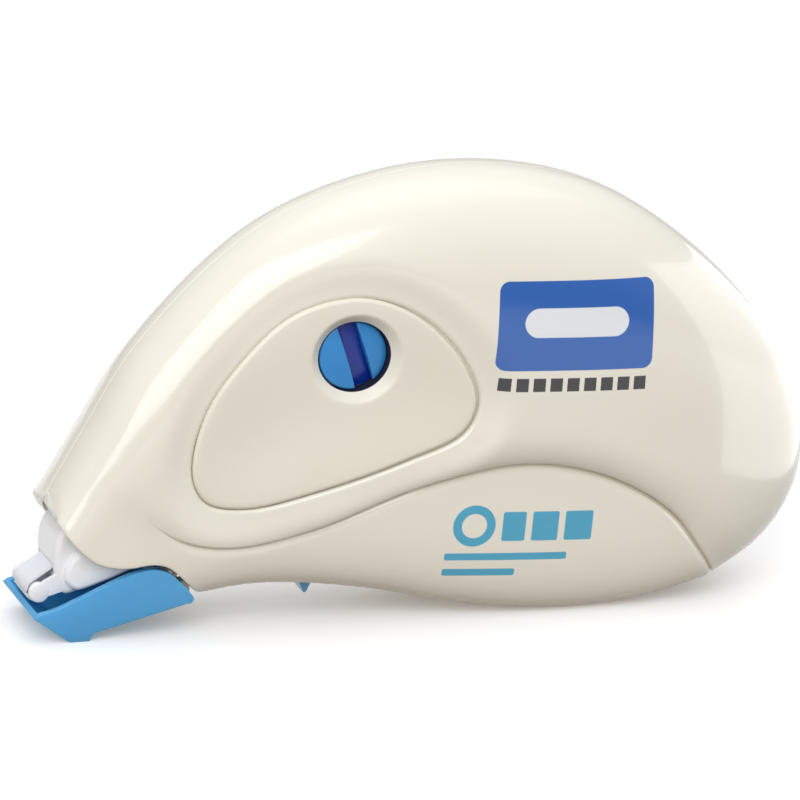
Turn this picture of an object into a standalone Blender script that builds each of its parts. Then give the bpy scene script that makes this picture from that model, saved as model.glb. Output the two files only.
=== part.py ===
"""Correction tape roller: a whale-shaped desk tool in two half shells with a hinged tip cap.

Frame: +X to the rear of the tool, -X to the writing tip, -Y is the side with the tension knob,
+Z up. The origin is the middle of the footprint, on the surface that the tool stands on.
Lengths are written in millimetres and turned into metres by MM.
"""
from bisect import bisect_right
from math import acos, asin, atan2, cos, hypot, pi, radians, sin, sqrt

import bmesh
import bpy
from mathutils import Matrix, Vector

MM = 0.001

# Driving dimensions, in millimetres
REAR_X = 47.6
WALL = 1.5
HALF_SPLIT = 0.15
FIT = 0.3
TAPE_WIDTH = 5.0
TAPE_THICK = 0.3

KNOB_CENTRE = (-11.1, 32.8)
GEAR_MODULE = 0.65
SUPPLY_TEETH = 52
TAKE_UP_TEETH = 22
REEL_LINE_ANGLE = -9.0

HINGE = (-29.2, 4.2)
TIP_BAR = (-46.2, 5.2)
NOTCH_X = 36.6

# Side profile of the body: the ridge line and the keel line, as smooth curves through (x, z)
RIDGE = [(-54, 0.5), (-45.7, 14.4), (-40.7, 23.3), (-34.7, 33.2), (-21.5, 46), (-7.4, 51.7), (7, 52.8),
         (22, 49.1), (37.5, 37.5), (45.3, 25.6), (REAR_X, 17)]
KEEL = [(-54, -3), (-44, 0.5), (-28.4, 3.8), (-20, 4.7), (-8, 3.5), (3, 1.2), (13, -0.1), (24, 0),
        (32, 1.4), (38, 3.2), (42.5, 6.3), (45.8, 10.8), (REAR_X, 17)]
# The step between the upper shell and the slimmer belly, seen from the side
STEP = [(-54, 27), (-36, 15.2), (-30.4, 11.4), (-24.1, 10.3), (-15.3, 12.1), (-2.9, 17),
        (9.1, 19.4), (19.1, 17.6), (28.2, 12.4), (32.8, 6.9), (NOTCH_X, 1.4)]
# Half widths along the length, as (x, y)
UPPER_WIDTH = [(-60, 6.2), (-44, 7), (-30, 8.3), (-15, 10.3), (0, 11.5), (12, 12), (30, 12), (50, 12)]
BELLY_WIDTH = [(-60, 6.1), (-44, 6.9), (-30, 7.4), (-15, 8.2), (0, 9.4), (12, 10), (30, 10.2),
               (50, 10.5)]
ROUND_START = 14.0
ROUND_POWER = 2.3
POWER_ABOVE = 2.6
POWER_BELOW = 3.0
POWER_BELLY = 7.0

# Thumb panel outline, seen from the side
PANEL = [(-29.5, 19.2), (-28.6, 25.8), (-25, 32), (-18.6, 38.1), (-11, 40), (-4.6, 38),
         (0.8, 32.9), (3.1, 27.4), (1.6, 23.8), (-5, 20.6), (-15.2, 17), (-23.2, 15.1), (-27.8, 16)]
PANEL_DROP = 1.15
PANEL_DISH = 1.0
PANEL_THICK = 1.3
PANEL_GAP = 0.3
PANEL_FLANGE = 1.1
WINDOW_RADIUS = 4.35

# Layers across the width, from the knob side (-Y) to the far side
KNOB_FACE = -7.8
KNOB_RADIUS = 4.0
KNOB_SLOT_WIDTH = 2.2
KNOB_SLOT_DEPTH = 1.5
SLOT_ANGLE = 69.0
GEAR_LAYER = (-5.6, -4.2)
FLANGE_LAYERS = ((-3.7, -3.1), (3.1, 3.7))
KNOB_STEM_END = -3.2
CHASSIS_LAYER = (4.3, 5.5)

SUPPLY_FLANGE_RADIUS = 14.6
SUPPLY_TAPE_RADIUS = 13.4
SUPPLY_CORE_RADIUS = 6.5
CLUTCH_RADIUS = 5.2
SUPPLY_HUB_RADIUS = 4.0
SUPPLY_POST_RADIUS = 2.6
TAKE_UP_FLANGE_RADIUS = 8.8
TAKE_UP_ROLL_RADIUS = 6.6
TAKE_UP_CORE_RADIUS = 4.8
TAKE_UP_POST_RADIUS = 1.5

COLLECTION = "correction_tape_roller"


# ---- scene, materials and small helpers ----

def clear_scene():
    for thing in list(bpy.data.objects):
        bpy.data.objects.remove(thing, do_unlink=True)


def make_collection(name):
    group = bpy.data.collections.new(name)
    bpy.context.scene.collection.children.link(group)
    return group


def make_material(name, colour, roughness, metallic=0.0):
    material = bpy.data.materials.new(name)
    material.use_nodes = True
    shader = material.node_tree.nodes["Principled BSDF"]
    shader.inputs["Base Color"].default_value = (*colour, 1.0)
    shader.inputs["Roughness"].default_value = roughness
    shader.inputs["Metallic"].default_value = metallic
    return material


def link_part(name, mesh, colour, roughness, origin=(0.0, 0.0), smooth=40):
    """Puts a mesh in the scene as a named part whose origin is at (x, z) in millimetres."""
    place = Vector((origin[0] * MM, 0, origin[1] * MM))
    mesh.transform(Matrix.Translation(-place))
    mesh.shade_smooth()
    mesh.set_sharp_from_angle(angle=radians(smooth))
    part = bpy.data.objects.new(name, mesh)
    part.location = place
    mesh.materials.clear()
    mesh.materials.append(make_material(name, colour, roughness))
    PARTS.objects.link(part)
    return part


def mesh_object(name, mesh):
    tool = bpy.data.objects.new(name, mesh)
    CUTTERS.objects.link(tool)
    tool.hide_render = True
    tool.display_type = "WIRE"
    return tool


def evaluated_mesh(tool):
    bpy.context.view_layer.update()
    graph = bpy.context.evaluated_depsgraph_get()
    return bpy.data.meshes.new_from_object(tool.evaluated_get(graph))


def combine(base, others, operation):
    """Returns the mesh of base after a Boolean with each of the other meshes in turn."""
    work = mesh_object("work", base)
    tools = []
    for other in others:
        tool = mesh_object("tool", other)
        step = work.modifiers.new("boolean", "BOOLEAN")
        step.operation = operation
        step.solver = "EXACT"
        step.object = tool
        tools.append(tool)
    result = evaluated_mesh(work)
    for tool in [work] + tools:
        bpy.data.objects.remove(tool, do_unlink=True)
    shape = bmesh.new()
    shape.from_mesh(result)
    bmesh.ops.remove_doubles(shape, verts=shape.verts, dist=2e-6)
    bmesh.ops.dissolve_degenerate(shape, edges=shape.edges, dist=2e-6)
    bmesh.ops.triangulate(shape, faces=shape.faces)
    shape.to_mesh(result)
    shape.free()
    return result


def joined(base, *others):
    return combine(base, others, "UNION")


def cut(base, *others):
    return combine(base, others, "DIFFERENCE")


# ---- curves ----

def mix(a, b, low, high, t):
    return a * ((high - t) / (high - low)) + b * ((t - low) / (high - low))


def smooth_curve(points, steps, closed=False):
    """Centripetal Catmull-Rom curve through the points."""
    if closed:
        chain = [points[-1], *points, points[0], points[1]]
    else:
        before = [2 * a - b for a, b in zip(points[0], points[1])]
        after = [2 * a - b for a, b in zip(points[-1], points[-2])]
        chain = [before, *points, after]
    chain = [Vector(point) for point in chain]
    result = []
    for p0, p1, p2, p3 in zip(chain, chain[1:], chain[2:], chain[3:]):
        t1 = sqrt((p1 - p0).length)
        t2 = t1 + sqrt((p2 - p1).length)
        t3 = t2 + sqrt((p3 - p2).length)
        for step in range(steps):
            t = t1 + (t2 - t1) * step / steps
            a1 = mix(p0, p1, 0, t1, t)
            a2 = mix(p1, p2, t1, t2, t)
            a3 = mix(p2, p3, t2, t3, t)
            b1 = mix(a1, a2, 0, t2, t)
            b2 = mix(a2, a3, t1, t3, t)
            result.append(tuple(mix(b1, b2, t1, t2, t)))
    if not closed:
        result.append(tuple(points[-1]))
    return result


def along(curve, x):
    """Value at x of a curve given as (x, value) points in order of x."""
    place = bisect_right(curve, (x, 1e9))
    place = min(max(place, 1), len(curve) - 1)
    (x0, v0), (x1, v1) = curve[place - 1], curve[place]
    return v0 + (v1 - v0) * (x - x0) / (x1 - x0)


def inward(curve, distance):
    """The curve moved sideways by distance, to the left of its direction of travel."""
    moved = []
    for i, (x, z) in enumerate(curve):
        ahead = curve[min(i + 1, len(curve) - 1)]
        behind = curve[max(i - 1, 0)]
        run = Vector((ahead[0] - behind[0], ahead[1] - behind[1])).normalized()
        moved.append((x - run.y * distance, z + run.x * distance))
    moved[-1] = (curve[-1][0] - abs(distance), curve[-1][1])
    return moved


def arc(centre, radius, start, end, count):
    """Points on a round arc; angles in degrees."""
    points = []
    for i in range(count + 1):
        angle = radians(start + (end - start) * i / count)
        points.append((centre[0] + radius * cos(angle), centre[1] + radius * sin(angle)))
    return points


def circle(centre, radius, count=32):
    return arc(centre, radius, 0, 360, count)[:-1]


RIDGE_LINE = smooth_curve(RIDGE, 12)
KEEL_LINE = smooth_curve(KEEL, 12)
STEP_LINE = smooth_curve(STEP, 12)
UPPER_LINE = smooth_curve(UPPER_WIDTH, 6)
BELLY_LINE = smooth_curve(BELLY_WIDTH, 6)


# ---- solids from outlines and profiles ----

def plate(outline, y_low, y_high, holes=()):
    """A flat plate whose outline lies in the XZ plane, between two heights across the width."""
    flat = bpy.data.curves.new("outline", "CURVE")
    flat.dimensions = "2D"
    flat.fill_mode = "BOTH"
    flat.extrude = (y_high - y_low) / 2 * MM
    for loop in (outline, *holes):
        line = flat.splines.new("POLY")
        line.points.add(len(loop) - 1)
        for point, (x, z) in zip(line.points, loop):
            point.co = (x * MM, z * MM, 0, 1)
        line.use_cyclic_u = True
    holder = bpy.data.objects.new("outline", flat)
    CUTTERS.objects.link(holder)
    mesh = evaluated_mesh(holder)
    bpy.data.objects.remove(holder, do_unlink=True)
    turn = Matrix.Translation((0, (y_low + y_high) / 2 * MM, 0)) @ Matrix.Rotation(radians(90), 4, "X")
    mesh.transform(turn)
    return cleaned(mesh)


def cleaned(mesh):
    shape = bmesh.new()
    shape.from_mesh(mesh)
    bmesh.ops.remove_doubles(shape, verts=shape.verts, dist=2e-6)
    bmesh.ops.recalc_face_normals(shape, faces=shape.faces)
    shape.to_mesh(mesh)
    shape.free()
    return mesh


def turned(centre, profile, sides=32):
    """A body turned about an axis along Y through centre; profile is (radius, y), from -Y to +Y."""
    shape = bmesh.new()
    spine = [shape.verts.new((r * MM, 0, -y * MM)) for r, y in profile]
    for one, two in zip(spine, spine[1:]):
        shape.edges.new((one, two))
    if min(r for r, y in profile) > 0:
        shape.edges.new((spine[-1], spine[0]))
    mesh = bpy.data.meshes.new("profile")
    shape.to_mesh(mesh)
    shape.free()
    holder = mesh_object("profile", mesh)
    screw = holder.modifiers.new("turn", "SCREW")
    screw.angle = 2 * pi
    screw.steps = sides
    screw.render_steps = sides
    screw.use_merge_vertices = True
    screw.merge_threshold = 0.000002
    screw.use_normal_calculate = True
    result = evaluated_mesh(holder)
    bpy.data.objects.remove(holder, do_unlink=True)
    place = Matrix.Translation((centre[0] * MM, 0, centre[1] * MM)) @ Matrix.Rotation(radians(90), 4, "X")
    result.transform(place)
    return cleaned(result)


def drum(centre, radius, y_low, y_high, sides=32):
    """A plain round pin, disc or boss along Y."""
    shape = bmesh.new()
    place = Matrix.Translation((centre[0] * MM, (y_low + y_high) / 2 * MM, centre[1] * MM))
    place = place @ Matrix.Rotation(radians(90), 4, "X")
    bmesh.ops.create_cone(shape, cap_ends=True, segments=sides, radius1=radius * MM,
                          radius2=radius * MM, depth=(y_high - y_low) * MM, matrix=place)
    mesh = bpy.data.meshes.new("drum")
    shape.to_mesh(mesh)
    shape.free()
    return mesh


def tube(centre, inner, outer, y_low, y_high, sides=32):
    return turned(centre, [(outer, y_low), (outer, y_high), (inner, y_high), (inner, y_low)], sides)


def rounded(mesh, width, segments):
    """The mesh with its side outlines bevelled."""
    holder = mesh_object("rounded", mesh)
    bevel = holder.modifiers.new("bevel", "BEVEL")
    bevel.width = width * MM
    bevel.segments = segments
    bevel.limit_method = "ANGLE"
    bevel.angle_limit = radians(60)
    result = evaluated_mesh(holder)
    bpy.data.objects.remove(holder, do_unlink=True)
    return result


# ---- the body form ----

def power_point(angle, power):
    """Height and breadth on a unit superellipse, from the top (90 degrees) to the bottom."""
    height = abs(sin(angle)) ** (2 / power)
    breadth = max(cos(angle), 0.0) ** (2 / power)
    return (height if angle >= 0 else -height), breadth


def power_angle(height, power):
    height = min(max(height, -1.0), 1.0)
    angle = asin(abs(height) ** (power / 2))
    return angle if height >= 0 else -angle


class Form:
    """Half width of the body over its side view; inset moves the whole surface inwards."""

    def __init__(self, inset=0.0):
        self.inset = inset
        self.rear = REAR_X - inset
        self.ridge = inward(RIDGE_LINE, -inset) if inset else RIDGE_LINE
        self.keel = inward(KEEL_LINE, inset) if inset else KEEL_LINE

    def middle(self, x):
        top = along(self.ridge, x)
        low = along(self.keel, x)
        return (top + low) / 2, max((top - low) / 2, 1e-6)

    def widest(self, x, line):
        back = min(max((x - ROUND_START) / (self.rear - ROUND_START), 0.0), 1.0)
        return (along(line, x) - self.inset) * (1 - back ** ROUND_POWER) ** (1 / ROUND_POWER)

    def step(self, x):
        """Height of the step, as a fraction of the half height."""
        middle, half = self.middle(x)
        if x >= NOTCH_X:
            return -1.0
        return min(max((along(STEP_LINE, x) + self.inset - middle) / half, -1.0), 1.0)

    def upper_side(self, x, z):
        middle, half = self.middle(x)
        height = min(max((z - middle) / half, -1.0), 1.0)
        power = POWER_ABOVE if height >= 0 else POWER_BELOW
        return self.widest(x, UPPER_LINE) * (1 - abs(height) ** power) ** (1 / power)

    def section(self, x, upper_rows, belly_rows):
        """Points (y, z) of the half section at x, from the ridge over the side to the keel."""
        middle, half = self.middle(x)
        edge = self.step(x)
        points = []
        below = POWER_BELOW
        for line, first, last, rows in ((UPPER_LINE, 1.0, edge, upper_rows),
                                        (BELLY_LINE, edge, -1.0, belly_rows)):
            wide = self.widest(x, line)
            start = power_angle(first, POWER_ABOVE if first >= 0 else below)
            end = power_angle(last, POWER_ABOVE if last >= 0 else below)
            for row in range(rows + 1):
                angle = start + (end - start) * row / rows
                height, breadth = power_point(angle, POWER_ABOVE if angle >= 0 else below)
                y = max(wide * breadth, HALF_SPLIT)
                z = max(middle + half * height, self.inset)
                points.append((y, z))
            below = POWER_BELLY
        return points


OUTER = Form()
INNER = Form(WALL)


def stations(form):
    """Places along X for the sections, closer where the belly step falls to the keel."""
    front = [-50 + 4.4 * i for i in range(16)]
    fall = [20.5, 24, 27, 29.5, 31.5, 33, 34.5, 36, NOTCH_X - 0.01, NOTCH_X]
    back = [NOTCH_X + (REAR_X - NOTCH_X) * sin(radians(15 * i)) for i in range(1, 7)]
    spread = (form.rear - ROUND_START) / (REAR_X - ROUND_START)
    places = []
    for x in front + fall + back:
        if x > NOTCH_X:
            x = ROUND_START + (x - ROUND_START) * spread
        places.append(min(x, form.rear))
    return places


def half_shell_mesh(side):
    """A closed half shell: outer skin, inner skin and the rim that joins them."""
    shape = bmesh.new()
    skins = []
    for form in (OUTER, INNER):
        skin = []
        for x in stations(form):
            ring = [shape.verts.new((x * MM, side * y * MM, z * MM)) for y, z in form.section(x, 8, 6)]
            skin.append(ring)
        skins.append(skin)
    outer, inner = skins
    long, tall = len(outer), len(outer[0])
    for skin in skins:
        for i in range(long - 1):
            for j in range(tall - 1):
                shape.faces.new((skin[i][j], skin[i + 1][j], skin[i + 1][j + 1], skin[i][j + 1]))
    for j in (0, tall - 1):
        for i in range(long - 1):
            shape.faces.new((outer[i][j], outer[i + 1][j], inner[i + 1][j], inner[i][j]))
    for i in (0, long - 1):
        for j in range(tall - 1):
            shape.faces.new((outer[i][j], outer[i][j + 1], inner[i][j + 1], inner[i][j]))
    bmesh.ops.remove_doubles(shape, verts=shape.verts, dist=2e-6)
    bmesh.ops.dissolve_degenerate(shape, edges=shape.edges, dist=2e-6)
    bmesh.ops.recalc_face_normals(shape, faces=shape.faces)
    mesh = bpy.data.meshes.new("half_shell")
    shape.to_mesh(mesh)
    shape.free()
    return mesh


# ---- the two half shells ----

# Edge of the shells around the mouth and over the cap, from the ridge to the keel
MOUTH_EDGE = [(-53, 27.7), (-45.8, 15.7), (-44.6, 13.6), (-43.3, 11.8), (-41.9, 10.4), (-40.4, 9.3),
              (-38.2, 8.65), (-36.1, 8.55), (-34.7, 8.75), (-33.3, 8.75), (-31.9, 8.3), (-30.6, 7.2),
              (-29.3, 5.85), (-28.5, 5), (-27.8, 4.5), (-27, 4.15), (-26.6, 2), (-26.6, -9),
              (-64, -9), (-64, 27.7)]
PIN_RADIUS = 0.45
HOOK_RADIUS = 1.1
HOOK_BORE = 0.65
HOOK_SPAN = (1.6, 3.2)
POSTS = [(-26.5, 36.3), (38, 27), (22, 8.2)]
POST_RADIUS = 1.8
SOCKET_RADIUS = 1.1
DOWEL_RADIUS = 0.8
CATCH_X = -13.7

IVORY = (0.84, 0.81, 0.74)
BLUE = (0.06, 0.30, 0.62)


def across(side, low, high):
    """A span across the width, on the given side of the middle."""
    return (low, high) if side > 0 else (-high, -low)


def hinge_hook(side):
    """An eye for the cap's pin, on an arm from the shell's floor."""
    span = across(side, *HOOK_SPAN)
    eye = drum(HINGE, HOOK_RADIUS, *span, sides=24)
    x, z = HINGE
    arm = plate([(x + 0.2, z + 0.35), (x + 2.2, z + 0.45), (x + 5.2, z + 1.05), (x + 5.2, z + 1.75),
                 (x + 1.5, z + 1.7), (x + 0.2, z + 1.1)], *span)
    bore = drum(HINGE, HOOK_BORE, span[0] - 0.5, span[1] + 0.5, sides=24)
    return cut(joined(eye, arm), bore)


def joining_post(side, place):
    """Closure post: a socket on the left shell, a dowel on the right one."""
    reach = min(OUTER.upper_side(x, z) for x, z in circle(place, POST_RADIUS, 8)) - 0.5
    post = drum(place, POST_RADIUS, *across(side, 2 * HALF_SPLIT, reach), sides=16)
    if side < 0:
        return cut(post, drum(place, SOCKET_RADIUS, -4.5, 1, sides=16))
    return joined(post, drum(place, DOWEL_RADIUS, -3.5, 1, sides=16))


def half_shell(side):
    shell = half_shell_mesh(side)
    grown = outline_offset(PANEL_OUTLINE, PANEL_GAP)
    mouth = plate(MOUTH_EDGE, -20, 20)
    window = plate(grown, *across(side, 4, 20))
    slot = plate([(CATCH_X - 1.1, 2), (CATCH_X + 1.1, 2), (CATCH_X + 1.1, 8), (CATCH_X - 1.1, 8)],
                 -2.5, 2.5)
    shell = joined(shell, *[joining_post(side, place) for place in POSTS])
    shell = cut(shell, mouth, window, slot)
    return joined(shell, hinge_hook(side))


def outline_offset(outline, distance):
    """A closed counter-clockwise outline moved outwards."""
    moved = []
    for i, (x, z) in enumerate(outline):
        ahead = outline[(i + 1) % len(outline)]
        behind = outline[i - 1]
        run = Vector((ahead[0] - behind[0], ahead[1] - behind[1])).normalized()
        moved.append((x + run.y * distance, z - run.x * distance))
    return moved


PANEL_OUTLINE = smooth_curve(PANEL, 3, closed=True)[::-1]


# ---- thumb panels ----

def edge_distance(x, z):
    """Distance from a point inside the panel to its outline."""
    nearest = 1e9
    for (ax, az), (bx, bz) in zip(PANEL_OUTLINE, PANEL_OUTLINE[1:] + PANEL_OUTLINE[:1]):
        run = Vector((bx - ax, bz - az))
        share = max(0.0, min(1.0, Vector((x - ax, z - az)).dot(run) / run.length_squared))
        nearest = min(nearest, hypot(ax + run.x * share - x, az + run.y * share - z))
    return nearest


def panel_depth(x, z):
    """How far the dished panel face lies below the body form."""
    share = min(edge_distance(x, z) / 9.0, 1.0)
    return PANEL_DROP + PANEL_DISH * (1 - (1 - share) ** 2)


def thumb_panel(side, window):
    """A dished panel that fills the opening, with a flange behind the shell's edge."""
    shape = bmesh.new()
    flange_top = WALL + 0.35
    flange_back = flange_top + 0.9
    brim = outline_offset(PANEL_OUTLINE, PANEL_FLANGE)
    rays = []
    for (x1, z1), (x2, z2) in zip(PANEL_OUTLINE, brim):
        out = Vector((x1 - KNOB_CENTRE[0], z1 - KNOB_CENTRE[1])).normalized() * window
        x0, z0 = KNOB_CENTRE[0] + out.x, KNOB_CENTRE[1] + out.y
        front = []
        back = []
        for share in (0.0, 0.35, 0.65, 0.87, 1.0):
            x, z = x0 + (x1 - x0) * share, z0 + (z1 - z0) * share
            depth = panel_depth(x, z)
            form = OUTER.upper_side(x, z)
            front.append((x, form - depth, z))
            back.append((x, form - max(depth + PANEL_THICK, flange_back), z))
        form_edge = OUTER.upper_side(x1, z1)
        form_brim = OUTER.upper_side(x2, z2)
        ray = front + [(x1, form_edge - flange_top, z1), (x2, form_brim - flange_top, z2),
                       (x2, form_brim - flange_back, z2)] + back[::-1]
        rays.append([shape.verts.new((x * MM, side * y * MM, z * MM)) for x, y, z in ray])
    count, rows = len(rays), len(rays[0])
    for i in range(count):
        for j in range(rows):
            near, far = rays[i], rays[(i + 1) % count]
            following = (j + 1) % rows
            if window == 0 and following == 0:
                continue
            shape.faces.new((near[j], far[j], far[following], near[following]))
    bmesh.ops.remove_doubles(shape, verts=shape.verts, dist=2e-6)
    bmesh.ops.dissolve_degenerate(shape, edges=shape.edges, dist=2e-6)
    bmesh.ops.recalc_face_normals(shape, faces=shape.faces)
    mesh = bpy.data.meshes.new("panel")
    shape.to_mesh(mesh)
    shape.free()
    return mesh


# ---- tip cap and catch ----

CAP_HALF_WIDTH = 6.6
CAP_WALL = 0.9
CAP_SIDE = [(-47.6, 3.1), (-44.4, 0.8), (-43.2, 0), (-41, 0), (-40.3, 0.95), (-29.4, 3.75),
            (-28.85, 3.8), (-28.6, 4.1), (-28.6, 4.5), (-29.3, 5.35), (-30.5, 6.6), (-31.7, 7.6),
            (-33, 8.05), (-34.2, 8.1), (-36, 7.75), (-37.7, 7.15), (-40.1, 6.1), (-42.6, 5),
            (-45, 4), (-47, 3.5)]
CAP_POCKET = [(-46.6, 3.2), (-43.9, 1.6), (-40.4, 1.95), (-31.3, 4.25), (-31, 1), (-25, 1),
              (-25, 14), (-49, 14), (-49, 4.8)]
CATCH_HALF = 2.0


def tip_cap():
    """Tray with two side walls, a raised bow and a pin bar across its rear corners."""
    body = plate(CAP_SIDE, -CAP_HALF_WIDTH, CAP_HALF_WIDTH)
    inside = CAP_HALF_WIDTH - CAP_WALL
    body = cut(body, plate(CAP_POCKET, -inside, inside))
    pin = drum(HINGE, PIN_RADIUS, -inside - 0.3, inside + 0.3, sides=24)
    return joined(body, pin)


def cap_catch():
    """A small blue wedge under the belly, held by a flange inside the shells."""
    x = CATCH_X
    wedge = plate([(x - 0.15, 2.5), (x + 0.15, 2.5), (x + 0.75, 3.8), (x + 0.75, 7), (x - 0.75, 7),
                   (x - 0.75, 3.8)], -CATCH_HALF, CATCH_HALF)
    flange = plate([(x - 2.6, 6.75), (x + 2.6, 6.75), (x + 2.6, 7.6), (x - 2.6, 7.6)], -3, 3)
    return joined(wedge, flange)


# ---- applicator head ----

HEAD_HALF = 3.9
CHANNEL_HALF = 2.85
HEAD_SIDE = [(-37.8, 17), (-31.6, 14.2), (-32.4, 9), (-36.8, 6.9), (-39.5, 5.9), (-41.1, 5.3),
             (-43.2, 4.8), (-44.1, 6.2), (-44.5, 8), (-44.5, 10), (-44.2, 11.6), (-43.1, 13.2),
             (-40.8, 15)]
HEAD_ROUND = 1.2
UPPER_CHANNEL = [(-29, 17), (-45.3, 6.3), (-49, 4.5), (-49, 8.35), (-44.3, 8.35), (-43.4, 9.1),
                 (-43.4, 10), (-43.1, 11.2), (-42.4, 12.3), (-40.2, 14), (-37, 15.8), (-31, 24),
                 (-29, 24)]
LOWER_CHANNEL = [(-45.4, 4.9), (-31, 13.7), (-29, 14.9), (-29, 0), (-48, 0), (-48, 4.2)]
CHEEK_PAD = [(-43.5, 6.9), (-42.2, 5.55), (-40.8, 5.75), (-39.4, 6.2), (-36.7, 7.2), (-33.8, 8.7),
             (-33.7, 9.9), (-35.5, 10.3), (-39.5, 10.5), (-42.6, 9.6)]
CHEEK_SPAN = (3.2, 4.9)
CHEEK_ROUND = 0.55
EAR_ARM = [(-42.8, 8), (-45.6, 6.5), (-46.7, 5.6), (-46.2, 4.4), (-42.8, 5.4)]
TIP_RADIUS = 0.8
EAR_RADIUS = 1.2
EAR_SPAN = (3.0, 3.75)


def applicator_head():
    """Hood with two padded cheeks, a tongue between them and the press edge with its two ears."""
    hood = rounded(plate(HEAD_SIDE, -HEAD_HALF, HEAD_HALF), HEAD_ROUND, 2)
    pads = [rounded(plate(CHEEK_PAD, *across(side, *CHEEK_SPAN)), CHEEK_ROUND, 2) for side in (-1, 1)]
    hood = cut(joined(hood, *pads), plate(UPPER_CHANNEL, -CHANNEL_HALF, CHANNEL_HALF),
               plate(LOWER_CHANNEL, -CHANNEL_HALF, CHANNEL_HALF))
    parts = [drum(TIP_BAR, TIP_RADIUS, -EAR_SPAN[1] + 0.2, EAR_SPAN[1] - 0.2, sides=24)]
    for side in (-1, 1):
        span = across(side, *EAR_SPAN)
        parts.append(plate(EAR_ARM, span[0] + 0.05, span[1] - 0.05))
        parts.append(drum(TIP_BAR, EAR_RADIUS, *span, sides=24))
    return joined(hood, *parts)


# ---- gears, cores, reels ----

def supply_centre():
    reach = GEAR_MODULE * (SUPPLY_TEETH + TAKE_UP_TEETH) / 2
    angle = radians(REEL_LINE_ANGLE)
    return KNOB_CENTRE[0] + reach * cos(angle), KNOB_CENTRE[1] + reach * sin(angle)


SUPPLY_CENTRE = supply_centre()


def gear_outline(centre, teeth, first_tooth):
    """Spur gear outline with straight-flanked teeth; first_tooth is a tooth's direction."""
    pitch_radius = GEAR_MODULE * teeth / 2
    thin = 0.76
    half_pitch = thin * pi / (2 * teeth)
    outline = []
    for tooth in range(teeth):
        middle = radians(first_tooth) + 2 * pi * tooth / teeth
        for height, sense in ((-1.2, -1), (0.9, -1), (0.9, 1), (-1.2, 1)):
            radius = pitch_radius + height * GEAR_MODULE
            half = half_pitch - height * GEAR_MODULE * 0.36 / pitch_radius
            angle = middle + sense * half
            outline.append((centre[0] + radius * cos(angle), centre[1] + radius * sin(angle)))
    return outline


def supply_gear():
    rim = plate(gear_outline(SUPPLY_CENTRE, SUPPLY_TEETH, 180 + REEL_LINE_ANGLE), *GEAR_LAYER,
                holes=[circle(SUPPLY_CENTRE, SUPPLY_HUB_RADIUS - 0.4)[::-1]])
    hub = tube(SUPPLY_CENTRE, SUPPLY_POST_RADIUS + FIT, SUPPLY_HUB_RADIUS, GEAR_LAYER[0], 3.6)
    return joined(rim, hub)


def take_up_gear():
    half_tooth = 180 / TAKE_UP_TEETH
    rim = plate(gear_outline(KNOB_CENTRE, TAKE_UP_TEETH, REEL_LINE_ANGLE + half_tooth), *GEAR_LAYER,
                holes=[circle(KNOB_CENTRE, 2.6)[::-1]])
    hub = tube(KNOB_CENTRE, TAKE_UP_POST_RADIUS + FIT, 3.0, GEAR_LAYER[0], 3.6)
    return joined(rim, hub)


def core(centre, bore, wall, flange):
    """A reel core with a flange disc at each end."""
    low, high = FLANGE_LAYERS
    profile = [(flange, low[0]), (flange, low[1]), (wall, low[1]), (wall, high[0]),
               (flange, high[0]), (flange, high[1]), (bore, high[1]), (bore, low[0])]
    return turned(centre, profile, 32)


def roll(centre, inner, outer):
    half = TAPE_WIDTH / 2
    return tube(centre, inner + FIT, outer, -half, half, 36)


def tension_knob():
    """Round knob with a coin slot across its face and a stem into the take-up hub."""
    back = GEAR_LAYER[0] - 0.4
    profile = [(0, KNOB_FACE), (KNOB_RADIUS - 0.7, KNOB_FACE), (KNOB_RADIUS - 0.2, KNOB_FACE + 0.25),
               (KNOB_RADIUS, KNOB_FACE + 0.8), (KNOB_RADIUS, back), (TAKE_UP_POST_RADIUS, back),
               (TAKE_UP_POST_RADIUS, KNOB_STEM_END), (0, KNOB_STEM_END)]
    body = turned(KNOB_CENTRE, profile, 32)
    long, half = KNOB_RADIUS + 2, KNOB_SLOT_WIDTH / 2
    slot = plate([(-long, -half), (long, -half), (long, half), (-long, half)],
                 KNOB_FACE - 1, KNOB_FACE + KNOB_SLOT_DEPTH)
    place = Matrix.Translation((KNOB_CENTRE[0] * MM, 0, KNOB_CENTRE[1] * MM))
    slot.transform(place @ Matrix.Rotation(radians(SLOT_ANGLE), 4, "Y"))
    return cut(body, slot)


CHASSIS_SIDE = [(-26, 15.5), (-25.5, 24), (-20, 33), (-13, 40), (-3, 42.5), (12, 44), (23, 40),
                (28, 31), (24, 21), (14, 14.8), (0, 13.6), (-14, 12.6)]


def chassis():
    """Mechanism plate with the two reel posts and the ports that lighten it."""
    outline = smooth_curve(CHASSIS_SIDE, 4, closed=True)
    base = plate(outline, *CHASSIS_LAYER, holes=[circle((1.5, 37), 3.2, 20), circle((-14, 20), 3.6, 20),
                                                circle((2.5, 21), 2.6, 20)])
    supply_post = drum(SUPPLY_CENTRE, SUPPLY_POST_RADIUS, -7.6, CHASSIS_LAYER[0] + 0.6, sides=24)
    take_up_post = drum(KNOB_CENTRE, TAKE_UP_POST_RADIUS, -2.6, CHASSIS_LAYER[0] + 0.6, sides=20)
    return joined(base, supply_post, take_up_post)


# ---- tape runs ----

GUIDE_PIN = (-29.6, 12.6)
GUIDE_RADIUS = 0.9


def tangent_angle(point, centre, radius, sense):
    """Direction from centre of the point where a line from point touches a circle."""
    reach = hypot(point[0] - centre[0], point[1] - centre[1])
    towards = atan2(point[1] - centre[1], point[0] - centre[0])
    return (towards + sense * acos(radius / reach)) * 180 / pi


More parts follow.
